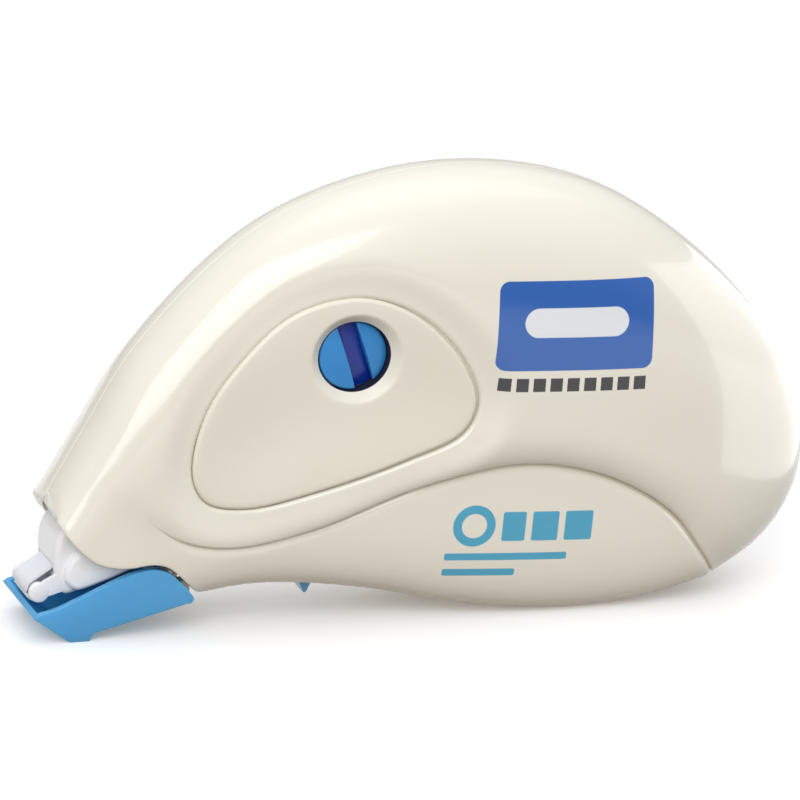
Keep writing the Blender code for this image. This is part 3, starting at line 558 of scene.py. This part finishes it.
def thumb_panel(name, side, window):
    """A dished panel with rounded edges and a flange behind the shell.

    A window, given by its radius, has a funnel in front of it and a collar behind it. The surface
    is made of rings, each with its place in the side view and its depth below the upper form.
    """
    outward = -left_of(PANEL_LINE, True)
    centre = np.array(KNOB_CENTRE)
    ray = PANEL_LINE - centre
    ray /= np.linalg.norm(ray, axis=1)[:, None]
    innermost = 0.0 if window else 0.02
    start = centre + ray * (window + FUNNEL_WIDTH if window else 0)
    stop = PANEL_LINE - outward * PANEL_ROUND
    rows = []
    if window:
        for share, fall in FUNNEL_PROFILE:
            place = centre + ray * (window + FUNNEL_WIDTH * share)
            rows.append((place, panel_depth(place) + FUNNEL_DEPTH * fall))
    for share in np.linspace(innermost, 1, 26):
        place = start + (stop - start) * share
        rows.append((place, panel_depth(place)))
    for angle in (22, 45, 67, 90):
        place = stop + outward * PANEL_ROUND * sin(radians(angle))
        rows.append((place, panel_depth(stop) + PANEL_ROUND * (1 - cos(radians(angle)))))
    flange_top = WALL + FLANGE_GAP
    flange_back = flange_top + FLANGE_THICK
    brim = PANEL_LINE + outward * FLANGE_WIDTH
    ones = np.ones(len(PANEL_LINE))
    rows += [(PANEL_LINE, flange_top * ones), (brim, flange_top * ones), (brim, flange_back * ones)]
    inner = centre + ray * (window + COLLAR_WALL) if window else start
    for share in (1.0, 0.8, 0.6, 0.4, 0.2, innermost):
        place = inner + (PANEL_LINE - inner) * share
        rows.append((place, np.maximum(panel_depth(place) + PANEL_THICK, flange_back)))
    if window:
        for place in (inner, centre + ray * window):
            rows.append((place, upper_width(place[:, 0], place[:, 1]) + COLLAR_BACK))
    shape = bmesh.new()
    rings = []
    for place, drop in rows:
        skin = upper_width(place[:, 0], place[:, 1]) - drop
        rings.append([shape.verts.new((x, side * y, z)) for (x, z), y in zip(place, skin)])
    count = len(PANEL_LINE)
    following = rings[1:] + rings[:1] if window else rings[1:]
    for near, far in zip(rings, following):
        for i in range(count):
            shape.faces.new((near[i], near[(i + 1) % count], far[(i + 1) % count], far[i]))
    if not window:
        shape.faces.new(rings[0])
        shape.faces.new(rings[-1][::-1])
    return finish_mesh(name, shape)


# ---- solid pieces, in millimetres ----

def circle(centre, radius, sides=48):
    """Corners of a round outline in the side view."""
    turns = [2 * pi * i / sides for i in range(sides)]
    return [(centre[0] + radius * cos(turn), centre[1] + radius * sin(turn)) for turn in turns]


def plate(outline, low, high):
    """A slab with an outline in the side view, between two places across the width."""
    shape = bmesh.new()
    near, far = [[shape.verts.new((x, y, z)) for x, z in outline] for y in (low, high)]
    shape.faces.new(near)
    shape.faces.new(far[::-1])
    for i in range(len(outline)):
        shape.faces.new((near[i], near[i - 1], far[i - 1], far[i]))
    bmesh.ops.recalc_face_normals(shape, faces=shape.faces)
    return shape


def turned(centre, profile, sides=64):
    """A turned solid across the width; its profile runs as (radius, y) from axis to axis."""
    shape = bmesh.new()
    rings = []
    for radius, y in profile:
        if radius:
            rings.append([shape.verts.new((x, y, z)) for x, z in circle(centre, radius, sides)])
        else:
            rings.append([shape.verts.new((centre[0], y, centre[1]))] * sides)
    for near, far in zip(rings, rings[1:]):
        for i in range(sides):
            corners = list(dict.fromkeys((near[i], near[i - 1], far[i - 1], far[i])))
            if len(corners) > 2:
                shape.faces.new(corners)
    bmesh.ops.recalc_face_normals(shape, faces=shape.faces)
    return shape


def on_side(side, low, high):
    """A span across the width on the left (-1) or the right (1), its lower end first."""
    return sorted((side * low, side * high))


def drum(centre, radius, low, high):
    """A round slab between two places across the width."""
    return plate(circle(centre, radius), low, high)


def loose_object(shape):
    """A working object that holds a bmesh, for a modifier."""
    mesh = bpy.data.meshes.new("shape")
    shape.to_mesh(mesh)
    shape.free()
    made = bpy.data.objects.new("shape", mesh)
    bpy.context.scene.collection.objects.link(made)
    return made


def taken_back(made, *tools):
    """The evaluated shape of an object as a bmesh; the object and its tools are removed."""
    mesh = bpy.data.meshes.new_from_object(made.evaluated_get(bpy.context.evaluated_depsgraph_get()))
    shape = bmesh.new()
    shape.from_mesh(mesh)
    bpy.data.meshes.remove(mesh)
    for used in (made, *tools):
        bpy.data.meshes.remove(used.data)
    return shape


def combined(shape, operation, *others):
    """A shape joined with others, or cut by them, one after another."""
    for other in others:
        made, tool = loose_object(shape), loose_object(other)
        modifier = made.modifiers.new("combine", "BOOLEAN")
        modifier.operation = operation
        modifier.object = tool
        shape = taken_back(made, tool)
    return shape


def bevelled(shape, width, segments=3, angle=30):
    """A shape with its edges sharper than an angle rounded."""
    made = loose_object(shape)
    modifier = made.modifiers.new("edges", "BEVEL")
    modifier.width = width
    modifier.segments = segments
    modifier.limit_method = "ANGLE"
    modifier.angle_limit = radians(angle)
    return taken_back(made)


def fine_cap():
    """Tray with side walls that end in a bow, rounded edges, and its pin across the rear."""
    outline = CAP_SIDE + [tuple(point) for point in smooth_curve(CAP_REAR, 6)]
    inner = CAP_HALF_WIDTH - CAP_WALL
    shape = combined(plate(outline, -CAP_HALF_WIDTH, CAP_HALF_WIDTH), "DIFFERENCE",
                     plate(CAP_POCKET, -inner, inner))
    shape = bevelled(shape, CAP_ROUND)
    shape = combined(shape, "UNION", drum(HINGE, PIN_RADIUS, -inner - PIN_SINK, inner + PIN_SINK))
    return finish_mesh("moulded_tip_cap", shape, 30)


def fine_head():
    """Rounded hood, two padded cheeks, the tongue between them and the press edge with its ears."""
    outline = [tuple(point) for point in smooth_curve(HEAD_SIDE, 5, closed=True)]
    shape = bevelled(plate(outline, -HEAD_HALF, HEAD_HALF), HEAD_ROUND, 6, 50)
    padding = [tuple(point) for point in smooth_curve(CHEEK_PAD, 3, closed=True)]
    for side in (-1, 1):
        pad = plate(padding, *on_side(side, *CHEEK_SPAN))
        shape = combined(shape, "UNION", bevelled(pad, CHEEK_ROUND, 4, 50))
    shape = combined(shape, "DIFFERENCE", plate(UPPER_CHANNEL, -CHANNEL_HALF, CHANNEL_HALF),
                     plate(LOWER_CHANNEL, -CHANNEL_HALF, CHANNEL_HALF))
    low, high = EAR_SPAN
    for side in (-1, 1):
        arm = plate(EAR_ARM, *on_side(side, low + 0.05, high - 0.05))
        ear = drum(TIP_BAR, EAR_RADIUS, *on_side(side, low, high))
        shape = combined(shape, "UNION", arm, bevelled(ear, EAR_ROUND, 3, 50))
    shape = combined(shape, "UNION", drum(TIP_BAR, TIP_RADIUS, EAR_ROUND - high, high - EAR_ROUND))
    return finish_mesh("moulded_head", shape, 40)


def fine_knob():
    """Round knob with a domed face, a coin slot across it and a stem."""
    domed = KNOB_RADIUS - KNOB_RIM
    profile = [(domed * i / 12, KNOB_FACE + KNOB_DOME * (i / 12) ** 2) for i in range(13)]
    profile += [(domed + KNOB_RIM * sin(turn), KNOB_FACE + KNOB_DOME + KNOB_RIM * (1 - cos(turn)))
                for turn in (pi / 8, pi / 4, 3 * pi / 8, pi / 2)]
    profile += [(KNOB_RADIUS, KNOB_BACK), (STEM_RADIUS, KNOB_BACK), (STEM_RADIUS, STEM_END),
                (0, STEM_END)]
    turn = radians(-SLOT_ANGLE)
    slot = []
    for x, z in ((-9, -1), (9, -1), (9, 1), (-9, 1)):
        z *= KNOB_SLOT_WIDTH / 2
        slot.append((KNOB_CENTRE[0] + KNOB_SLOT_SHIFT + x * cos(turn) - z * sin(turn),
                     KNOB_CENTRE[1] + x * sin(turn) + z * cos(turn)))
    shape = combined(turned(KNOB_CENTRE, profile), "DIFFERENCE",
                     plate(slot, KNOB_FACE - 2, KNOB_FACE + KNOB_SLOT_DEPTH))
    return finish_mesh("domed_knob", bevelled(shape, KNOB_ROUND, 2, 40), 40)


def hinge_eye(name, side):
    """The eye that holds the cap's pin, on an arm from the shell's floor."""
    span = on_side(side, *HOOK_SPAN)
    x, z = HINGE
    arm = plate([(x + 0.2, z + 0.35), (x + 2.2, z + 0.45), (x + 5.2, z + 1.05), (x + 5.2, z + 1.75),
                 (x + 1.5, z + 1.7), (x + 0.2, z + 1.1)], *span)
    eye = combined(drum(HINGE, HOOK_RADIUS, *span), "UNION", arm)
    eye = combined(eye, "DIFFERENCE", drum(HINGE, HOOK_BORE, span[0] - 1, span[1] + 1))
    return finish_mesh(name, bevelled(eye, HOOK_ROUND, 2, 40), 40)


def joining_posts(name, side):
    """Closure posts inside a shell: sockets on the left shell, dowels on the right one."""
    shape = bmesh.new()
    for place in POSTS:
        x, z = np.array(place[:1]), np.array(place[1:])
        top = np.interp(x, RIDGE_LINE[:, 0], RIDGE_LINE[:, 1])
        low = np.interp(x, KEEL_LINE[:, 0], KEEL_LINE[:, 1])
        height = (z - (top + low) / 2) / ((top - low) / 2)
        belly = half_width(x, height, BELLY_LINE, POWER_BELLY)[0]
        reach = min(upper_width(x, z)[0], belly) - WALL / 2
        if side < 0:
            profile = [(SOCKET_RADIUS, -POST_SEAM), (POST_RADIUS, -POST_SEAM), (POST_RADIUS, -reach),
                       (0, -reach), (0, -SOCKET_DEPTH), (SOCKET_RADIUS, -SOCKET_DEPTH),
                       (SOCKET_RADIUS, -POST_SEAM)]
        else:
            profile = [(0, -DOWEL_LENGTH), (DOWEL_RADIUS - 0.2, -DOWEL_LENGTH),
                       (DOWEL_RADIUS, -DOWEL_TAPER), (DOWEL_RADIUS, POST_SEAM),
                       (POST_RADIUS, POST_SEAM), (POST_RADIUS, reach), (0, reach)]
        post = turned(place, profile, 32)
        mesh = bpy.data.meshes.new("post")
        post.to_mesh(mesh)
        post.free()
        shape.from_mesh(mesh)
        bpy.data.meshes.remove(mesh)
    return finish_mesh(name, shape, 40)


# ---- materials ----

# Noise scales, in features per metre
FLOW_SCALE = 38
PATCH_SCALE = 110
GRAIN_SCALE = 2600


def feed(tree, socket, value):
    """Links another node's output into an input, or sets the input's own value."""
    if isinstance(value, bpy.types.NodeSocket):
        tree.links.new(value, socket)
    else:
        socket.default_value = value


def node(tree, kind, inputs=None, **settings):
    """Adds a node; inputs go by name or number, and the settings are its properties."""
    made = tree.nodes.new(kind)
    for key, value in (inputs or {}).items():
        feed(tree, made.inputs[key], value)
    for key, value in settings.items():
        setattr(made, key, value)
    return made


def math(tree, operation, a, b=0.0, c=0.0):
    """A Math node on numbers or sockets."""
    made = node(tree, "ShaderNodeMath", operation=operation)
    for socket, value in zip(made.inputs, (a, b, c)):
        feed(tree, socket, value)
    return made.outputs[0]


def mix_colour(tree, share, a, b):
    """Colour a where share is 0, colour b where it is 1."""
    made = node(tree, "ShaderNodeMix", data_type="RGBA")
    for socket, value in ((made.inputs[0], share), (made.inputs[6], a), (made.inputs[7], b)):
        feed(tree, socket, value)
    return made.outputs[2]


def ramp(tree, value, low, high, start=0.0, end=1.0):
    """Goes from start to end while value goes from low to high, and stays level outside."""
    limits = {"Value": value, "From Min": low, "From Max": high, "To Min": start, "To Max": end}
    return node(tree, "ShaderNodeMapRange", limits).outputs[0]


def side_view(tree, place):
    """The x and z of a place in metres, as millimetres."""
    parts = node(tree, "ShaderNodeSeparateXYZ", {"Vector": place}).outputs
    return [math(tree, "MULTIPLY", parts[i], 1000.0) for i in (0, 2)]


def noise(tree, place, scale, detail, stretch=(1, 1, 1)):
    """Fractal noise; scale is in features per metre."""
    mapping = node(tree, "ShaderNodeMapping", inputs={"Vector": place, "Scale": stretch})
    made = node(tree, "ShaderNodeTexNoise", inputs={"Vector": mapping.outputs[0], "Scale": scale,
                                                     "Detail": detail, "Roughness": 0.55})
    return made.outputs[0]


def colour(red, green, blue):
    """Linear colour from sRGB values of 0 to 255."""
    made = []
    for value in (red, green, blue):
        value /= 255
        made.append(value / 12.92 if value <= 0.04045 else ((value + 0.055) / 1.055) ** 2.4)
    return (*made, 1.0)


def moulded_plastic(name, base, shade, roughness, grain=0.015, coat=0.0, sss=0.0):
    """Moulded plastic: faint flow marks in the colour, fine grain and slightly rubbed patches."""
    material = bpy.data.materials.new(name)
    material.use_nodes = True
    tree = material.node_tree
    shader = tree.nodes["Principled BSDF"]
    place = node(tree, "ShaderNodeTexCoord").outputs["Object"]
    flow = noise(tree, place, FLOW_SCALE, 4, (1, 1, 1.6))
    patches = noise(tree, place, PATCH_SCALE, 3)
    tint = mix_colour(tree, math(tree, "MULTIPLY_ADD", flow, 1.6, -0.3), shade, base)
    tree.links.new(tint, shader.inputs["Base Color"])
    rough = math(tree, "MULTIPLY_ADD", patches, 0.05, roughness - 0.025)
    tree.links.new(rough, shader.inputs["Roughness"])
    fine = noise(tree, place, GRAIN_SCALE, 2)
    bump = node(tree, "ShaderNodeBump", inputs={"Strength": grain * 10, "Distance": 0.00002, "Height": fine})
    tree.links.new(bump.outputs[0], shader.inputs["Normal"])
    shader.inputs["Coat Weight"].default_value = coat
    shader.inputs["Coat Roughness"].default_value = 0.06
    shader.inputs["Subsurface Weight"].default_value = sss
    shader.inputs["Subsurface Radius"].default_value = (1.0, 0.9, 0.8)
    shader.inputs["Subsurface Scale"].default_value = 0.002
    return material


def band(tree, value, low, high, soft):
    """1 where value lies between low and high, with soft edges."""
    rise = ramp(tree, value, low - soft, low + soft)
    fall = ramp(tree, value, high - soft, high + soft, 1.0, 0.0)
    return math(tree, "MULTIPLY", rise, fall)


IVORY = colour(243, 240, 227)
IVORY_SHADE = colour(240, 236, 222)

# Plain printing on the left shell: boxes are (x from, x to, z from, z to)
LABEL_BLUE = colour(34, 98, 184)
LABEL_PALE = colour(236, 240, 246)
LABEL_DARK = colour(34, 34, 38)
PRINT_CYAN = colour(60, 168, 205)
PRINT_TILT = -1.9
PRINT_PIVOT = (0.0115, 0, 0.024)
PRINT_EDGE = 0.04
LABEL = (4.4, 23.6, 31.2, 41.6)
LABEL_BAND = (7.6, 20.4, 35.1, 38.5)
DASHES = (5.0, 23.5, 28.7, 30.3)
DASH_PITCH = 2.06
DASH_SHARE = 0.72
RING_CENTRE = (4.4, 11.8)
RING_RADII = (1.5, 2.55)
BARS = [(7.8, 10.6, 9.9, 13.5), (11.4, 14.6, 9.9, 13.5), (15.4, 18.8, 9.9, 13.5),
        (1.2, 16.0, 7.5, 8.4), (1.2, 9.9, 5.5, 6.4)]


def box_mask(tree, x, z, box, rounding, soft=PRINT_EDGE):
    """1 inside a box with rounded corners, in side view millimetres."""
    gaps = []
    for value, low, high in ((x, *box[:2]), (z, *box[2:])):
        away = math(tree, "ABSOLUTE", math(tree, "SUBTRACT", value, (low + high) / 2))
        gaps.append(math(tree, "SUBTRACT", away, (high - low) / 2 - rounding))
    out = [math(tree, "POWER", math(tree, "MAXIMUM", gap, 0.0), 2.0) for gap in gaps]
    far = math(tree, "SQRT", math(tree, "ADD", *out))
    return ramp(tree, far, rounding - soft, rounding + soft, 1.0, 0.0)


def distance_from(tree, x, z, centre):
    """Distance of (x, z) from a centre, in side view millimetres."""
    squares = [math(tree, "POWER", math(tree, "ABSOLUTE", math(tree, "SUBTRACT", value, middle)), 2.0)
               for value, middle in zip((x, z), centre)]
    return math(tree, "SQRT", math(tree, "ADD", *squares))


def shell_plastic(name):
    """Pearly ivory moulding, with painted shade darkening it in its grooves."""
    material = moulded_plastic(name, IVORY, IVORY_SHADE, 0.22, coat=0.6)
    tree = material.node_tree
    shader = tree.nodes["Principled BSDF"]
    groove_shade = node(tree, "ShaderNodeAttribute", attribute_name="groove").outputs["Fac"]
    base = shader.inputs["Base Color"].links[0].from_socket
    # Painted shade: the groove depth blends in a darker warm tint where the grooves lie in shadow.
    groove_shaded = mix_colour(tree, math(tree, "MULTIPLY", groove_shade, 0.4), base, colour(176, 166, 146))
    tree.links.new(groove_shaded, shader.inputs["Base Color"])
    return material


def satin_plastic(name):
    """Satin ivory moulding."""
    return moulded_plastic(name, colour(241, 237, 224), colour(237, 232, 217), 0.33, 0.02)


def window_plastic(name):
    """Satin ivory moulding with painted shade, a dark navy, inside the window that the knob turns in."""
    material = satin_plastic(name)
    tree = material.node_tree
    shader = tree.nodes["Principled BSDF"]
    tint = shader.inputs["Base Color"].links[0].from_socket
    place = node(tree, "ShaderNodeTexCoord").outputs["Object"]
    away = distance_from(tree, *side_view(tree, place), KNOB_CENTRE)
    shaded_bore = ramp(tree, away, WINDOW_RADIUS + 0.02, WINDOW_RADIUS + 0.06, 1.0, 0.0)
    # Painted shade: the bore wall round the knob is coloured dark navy where it lies in shadow.
    tint = mix_colour(tree, shaded_bore, tint, colour(12, 18, 50))
    tree.links.new(tint, shader.inputs["Base Color"])
    rough = shader.inputs["Roughness"].links[0].from_socket
    tree.links.new(math(tree, "MAXIMUM", rough, shaded_bore), shader.inputs["Roughness"])
    return material


def knob_plastic(name):
    """Blue moulding with painted shade, a deeper blue, on the floor of its slot."""
    material = moulded_plastic(name, colour(46, 142, 214), colour(38, 132, 206), 0.3, coat=0.1)
    tree = material.node_tree
    shader = tree.nodes["Principled BSDF"]
    tint = shader.inputs["Base Color"].links[0].from_socket
    place = node(tree, "ShaderNodeTexCoord").outputs["Object"]
    across = node(tree, "ShaderNodeSeparateXYZ", {"Vector": place}).outputs[1]
    slot_shade = ramp(tree, math(tree, "MULTIPLY", across, 1000.0), KNOB_FACE + KNOB_SLOT_DEPTH - 0.5,
                KNOB_FACE + KNOB_SLOT_DEPTH - 0.1)
    # Painted shade: the slot turns deep blue with depth, where it lies in shadow.
    tint = mix_colour(tree, slot_shade, tint, colour(6, 46, 146))
    tree.links.new(tint, shader.inputs["Base Color"])
    return material


def printed_plastic(name):
    """The shell's plastic with a plain label, a row of dashes, a ring and bars printed on it."""
    material = shell_plastic(name)
    tree = material.node_tree
    shader = tree.nodes["Principled BSDF"]
    tint = shader.inputs["Base Color"].links[0].from_socket
    place = node(tree, "ShaderNodeTexCoord").outputs["Object"]
    turned_place = node(tree, "ShaderNodeVectorRotate", rotation_type="Y_AXIS", inputs={
        "Vector": place, "Center": PRINT_PIVOT, "Angle": radians(PRINT_TILT)})
    x, z = side_view(tree, turned_place.outputs[0])
    tint = mix_colour(tree, box_mask(tree, x, z, LABEL, 1.2), tint, LABEL_BLUE)
    tint = mix_colour(tree, box_mask(tree, x, z, LABEL_BAND, 1.75), tint, LABEL_PALE)
    share = math(tree, "FRACT", math(tree, "DIVIDE", math(tree, "SUBTRACT", x, DASHES[0]), DASH_PITCH))
    dashes = math(tree, "MULTIPLY", box_mask(tree, x, z, DASHES, 0.1),
                  math(tree, "LESS_THAN", share, DASH_SHARE))
    tint = mix_colour(tree, dashes, tint, LABEL_DARK)
    away = distance_from(tree, x, z, RING_CENTRE)
    tint = mix_colour(tree, band(tree, away, *RING_RADII, PRINT_EDGE), tint, PRINT_CYAN)
    for box in BARS:
        tint = mix_colour(tree, box_mask(tree, x, z, box, 0.25), tint, PRINT_CYAN)
    tree.links.new(tint, shader.inputs["Base Color"])
    return material


# ---- pieces ----

def dress(material, *names):
    """Gives frame nodes that keep their mesh a procedural material."""
    for name in names:
        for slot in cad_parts[name].material_slots:
            slot.material = material


def add_piece(piece, body, slot, material, *replaced):
    """Gives a piece its material, and says what it rides on and what it replaces."""
    piece.data.materials.clear()
    piece.data.materials.append(material)
    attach(piece, body)
    if replaced:
        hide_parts(*replaced)


IVORY_PLASTIC = shell_plastic("ivory_plastic")
PRINTED_PLASTIC = printed_plastic("printed_ivory_plastic")
SATIN_PLASTIC = satin_plastic("satin_ivory")
WINDOW_PLASTIC = window_plastic("satin_ivory_window")
BLUE_PLASTIC = moulded_plastic("blue_plastic", colour(72, 170, 228), colour(66, 162, 222), 0.22, coat=0.4,
                               sss=0.35)
KNOB_PLASTIC = knob_plastic("knob_plastic")
MILKY_PLASTIC = moulded_plastic("milky_plastic", colour(253, 253, 255), colour(249, 250, 253), 0.25,
                                sss=0.15)
ACETAL = moulded_plastic("acetal", colour(236, 236, 230), colour(226, 226, 220), 0.4)
BLACK_PLASTIC = moulded_plastic("black_plastic", colour(40, 40, 42), colour(30, 30, 32), 0.45)
RUBBER = moulded_plastic("clutch_rubber", colour(34, 34, 35), colour(26, 26, 27), 0.8, 0.06)
FILM = moulded_plastic("correction_film", colour(244, 245, 251), colour(238, 239, 247), 0.7, 0.03)
LINER = moulded_plastic("liner_paper", colour(238, 239, 246), colour(232, 233, 241), 0.5, 0.02)

domain = shell_domain()
shell_slot, blue_slot = "shell_plastic", "blue_plastic"
add_piece(half_shell("left_body_shell", -1, domain), "housing", shell_slot, PRINTED_PLASTIC, "left_shell")
add_piece(half_shell("right_body_shell", 1, domain), "housing", shell_slot, IVORY_PLASTIC, "right_shell")
for side, name in ((-1, "left"), (1, "right")):
    add_piece(hinge_eye(name + "_hinge_eye", side), "housing", shell_slot, IVORY_PLASTIC)
    add_piece(joining_posts(name + "_joining_posts", side), "housing", shell_slot, IVORY_PLASTIC)
add_piece(thumb_panel("left_dished_panel", -1, WINDOW_RADIUS), "housing", "panel_plastic", WINDOW_PLASTIC,
          "left_thumb_panel")
add_piece(thumb_panel("right_dished_panel", 1, 0), "housing", "panel_plastic", SATIN_PLASTIC,
          "right_thumb_panel")
add_piece(fine_cap(), "tip_cap", blue_slot, BLUE_PLASTIC, "tip_cap")
add_piece(fine_head(), "housing", "head_plastic", MILKY_PLASTIC, "applicator_head")
add_piece(fine_knob(), "take_up_reel", blue_slot, KNOB_PLASTIC, "tension_knob")
dress(BLUE_PLASTIC, "cap_catch", "chassis")
dress(MILKY_PLASTIC, "supply_core", "take_up_core")
dress(ACETAL, "supply_gear", "take_up_gear", "guide_pin")
dress(BLACK_PLASTIC, "supply_retainer")
dress(RUBBER, "clutch_ring")
dress(FILM, "supply_tape_roll", "fresh_tape_run")
dress(LINER, "take_up_liner_roll", "used_liner_run")


# ---- floor, light and camera, in metres ----

GROUND_TINT = (0.15, 0.11, 0.06, 1)
SKY_TINT = (0.64, 0.64, 0.66, 1)
AIM = (0, 0, 0.02)
CAMERA_TARGET = (-0.0025, 0, 0.02463)
CAMERA_DISTANCE = 0.7707


def floor():
    """A plain white floor, a little self-lit so that it stays white far from the lights."""
    shape = bmesh.new()
    bmesh.ops.create_grid(shape, x_segments=2, y_segments=2, size=4.0)
    mesh = bpy.data.meshes.new("floor")
    shape.to_mesh(mesh)
    shape.free()
    piece = bpy.data.objects.new("floor", mesh)
    bpy.context.scene.collection.objects.link(piece)
    material = bpy.data.materials.new("floor")
    material.use_nodes = True
    shader = material.node_tree.nodes["Principled BSDF"]
    shader.inputs["Base Color"].default_value = (0.94, 0.94, 0.94, 1)
    shader.inputs["Roughness"].default_value = 0.7
    shader.inputs["Specular IOR Level"].default_value = 0.0
    shader.inputs["Emission Color"].default_value = (1, 1, 1, 1)
    shader.inputs["Emission Strength"].default_value = 0.15
    piece.data.materials.append(material)
    piece.visible_diffuse = False


def softbox(name, place, aim, size, radiance, diffuse=True, gloss=True):
    """A rectangular light of a given brightness, in watts per steradian and square metre."""
    lamp = bpy.data.lights.new(name, "AREA")
    lamp.shape = "RECTANGLE"
    lamp.size, lamp.size_y = size
    lamp.energy = radiance * pi * size[0] * size[1]
    light = bpy.data.objects.new(name, lamp)
    light.visible_camera = False
    light.visible_diffuse = diffuse
    light.visible_glossy = gloss
    light.location = place
    light.rotation_euler = (Vector(aim) - Vector(place)).to_track_quat("-Z", "Y").to_euler()
    bpy.context.scene.collection.objects.link(light)


def camera():
    """The view of the knob side, from a little above and ahead, with a slight roll."""
    azimuth, elevation, roll = radians(-20), radians(18), radians(3.12)
    back = Vector((sin(azimuth) * cos(elevation), -cos(azimuth) * cos(elevation), sin(elevation)))
    right = Vector((cos(azimuth), sin(azimuth), 0))
    up = back.cross(right)
    tilted = right * cos(roll) + up * sin(roll)
    upright = up * cos(roll) - right * sin(roll)
    lens = bpy.data.cameras.new("camera")
    lens.lens = 300
    lens.sensor_width = 36
    viewer = bpy.data.objects.new("camera", lens)
    axes = Matrix((tilted, upright, back)).transposed().to_4x4()
    place = Vector(CAMERA_TARGET) + back * CAMERA_DISTANCE
    viewer.matrix_world = Matrix.Translation(place) @ axes
    bpy.context.scene.collection.objects.link(viewer)
    bpy.context.scene.camera = viewer


def surroundings():
    """An even pale sky that turns dim and warm below the horizon."""
    world = bpy.data.worlds.new("studio")
    world.use_nodes = True
    tree = world.node_tree
    place = node(tree, "ShaderNodeTexCoord").outputs["Generated"]
    height = node(tree, "ShaderNodeSeparateXYZ", inputs={"Vector": place}).outputs[2]
    tint = mix_colour(tree, ramp(tree, height, -0.25, 0.4), GROUND_TINT, SKY_TINT)
    tree.links.new(tint, tree.nodes["Background"].inputs["Color"])
    bpy.context.scene.world = world
    bpy.context.scene.view_settings.view_transform = "Standard"


floor()
softbox("key", (-0.41, -0.64, 0.5), AIM, (0.75, 0.75), 2.9)
softbox("top", (0.1, 0.1, 0.9), AIM, (0.9, 0.7), 0.55)
softbox("fill", (0.55, -0.28, 0.08), (0.03, 0, 0.02), (0.4, 0.3), 1.2, gloss=False)
softbox("back", (0.3, 0.7, 0.45), AIM, (0.7, 0.5), 1.5, gloss=False)
# A tall card beside the rear of the tool gives it its bright reflected crescent
softbox("rear card", (0.086, 0.01, 0.033), (-0.0073, 0.0458, 0.033), (0.107, 0.065), 2, diffuse=False)
surroundings()
camera()
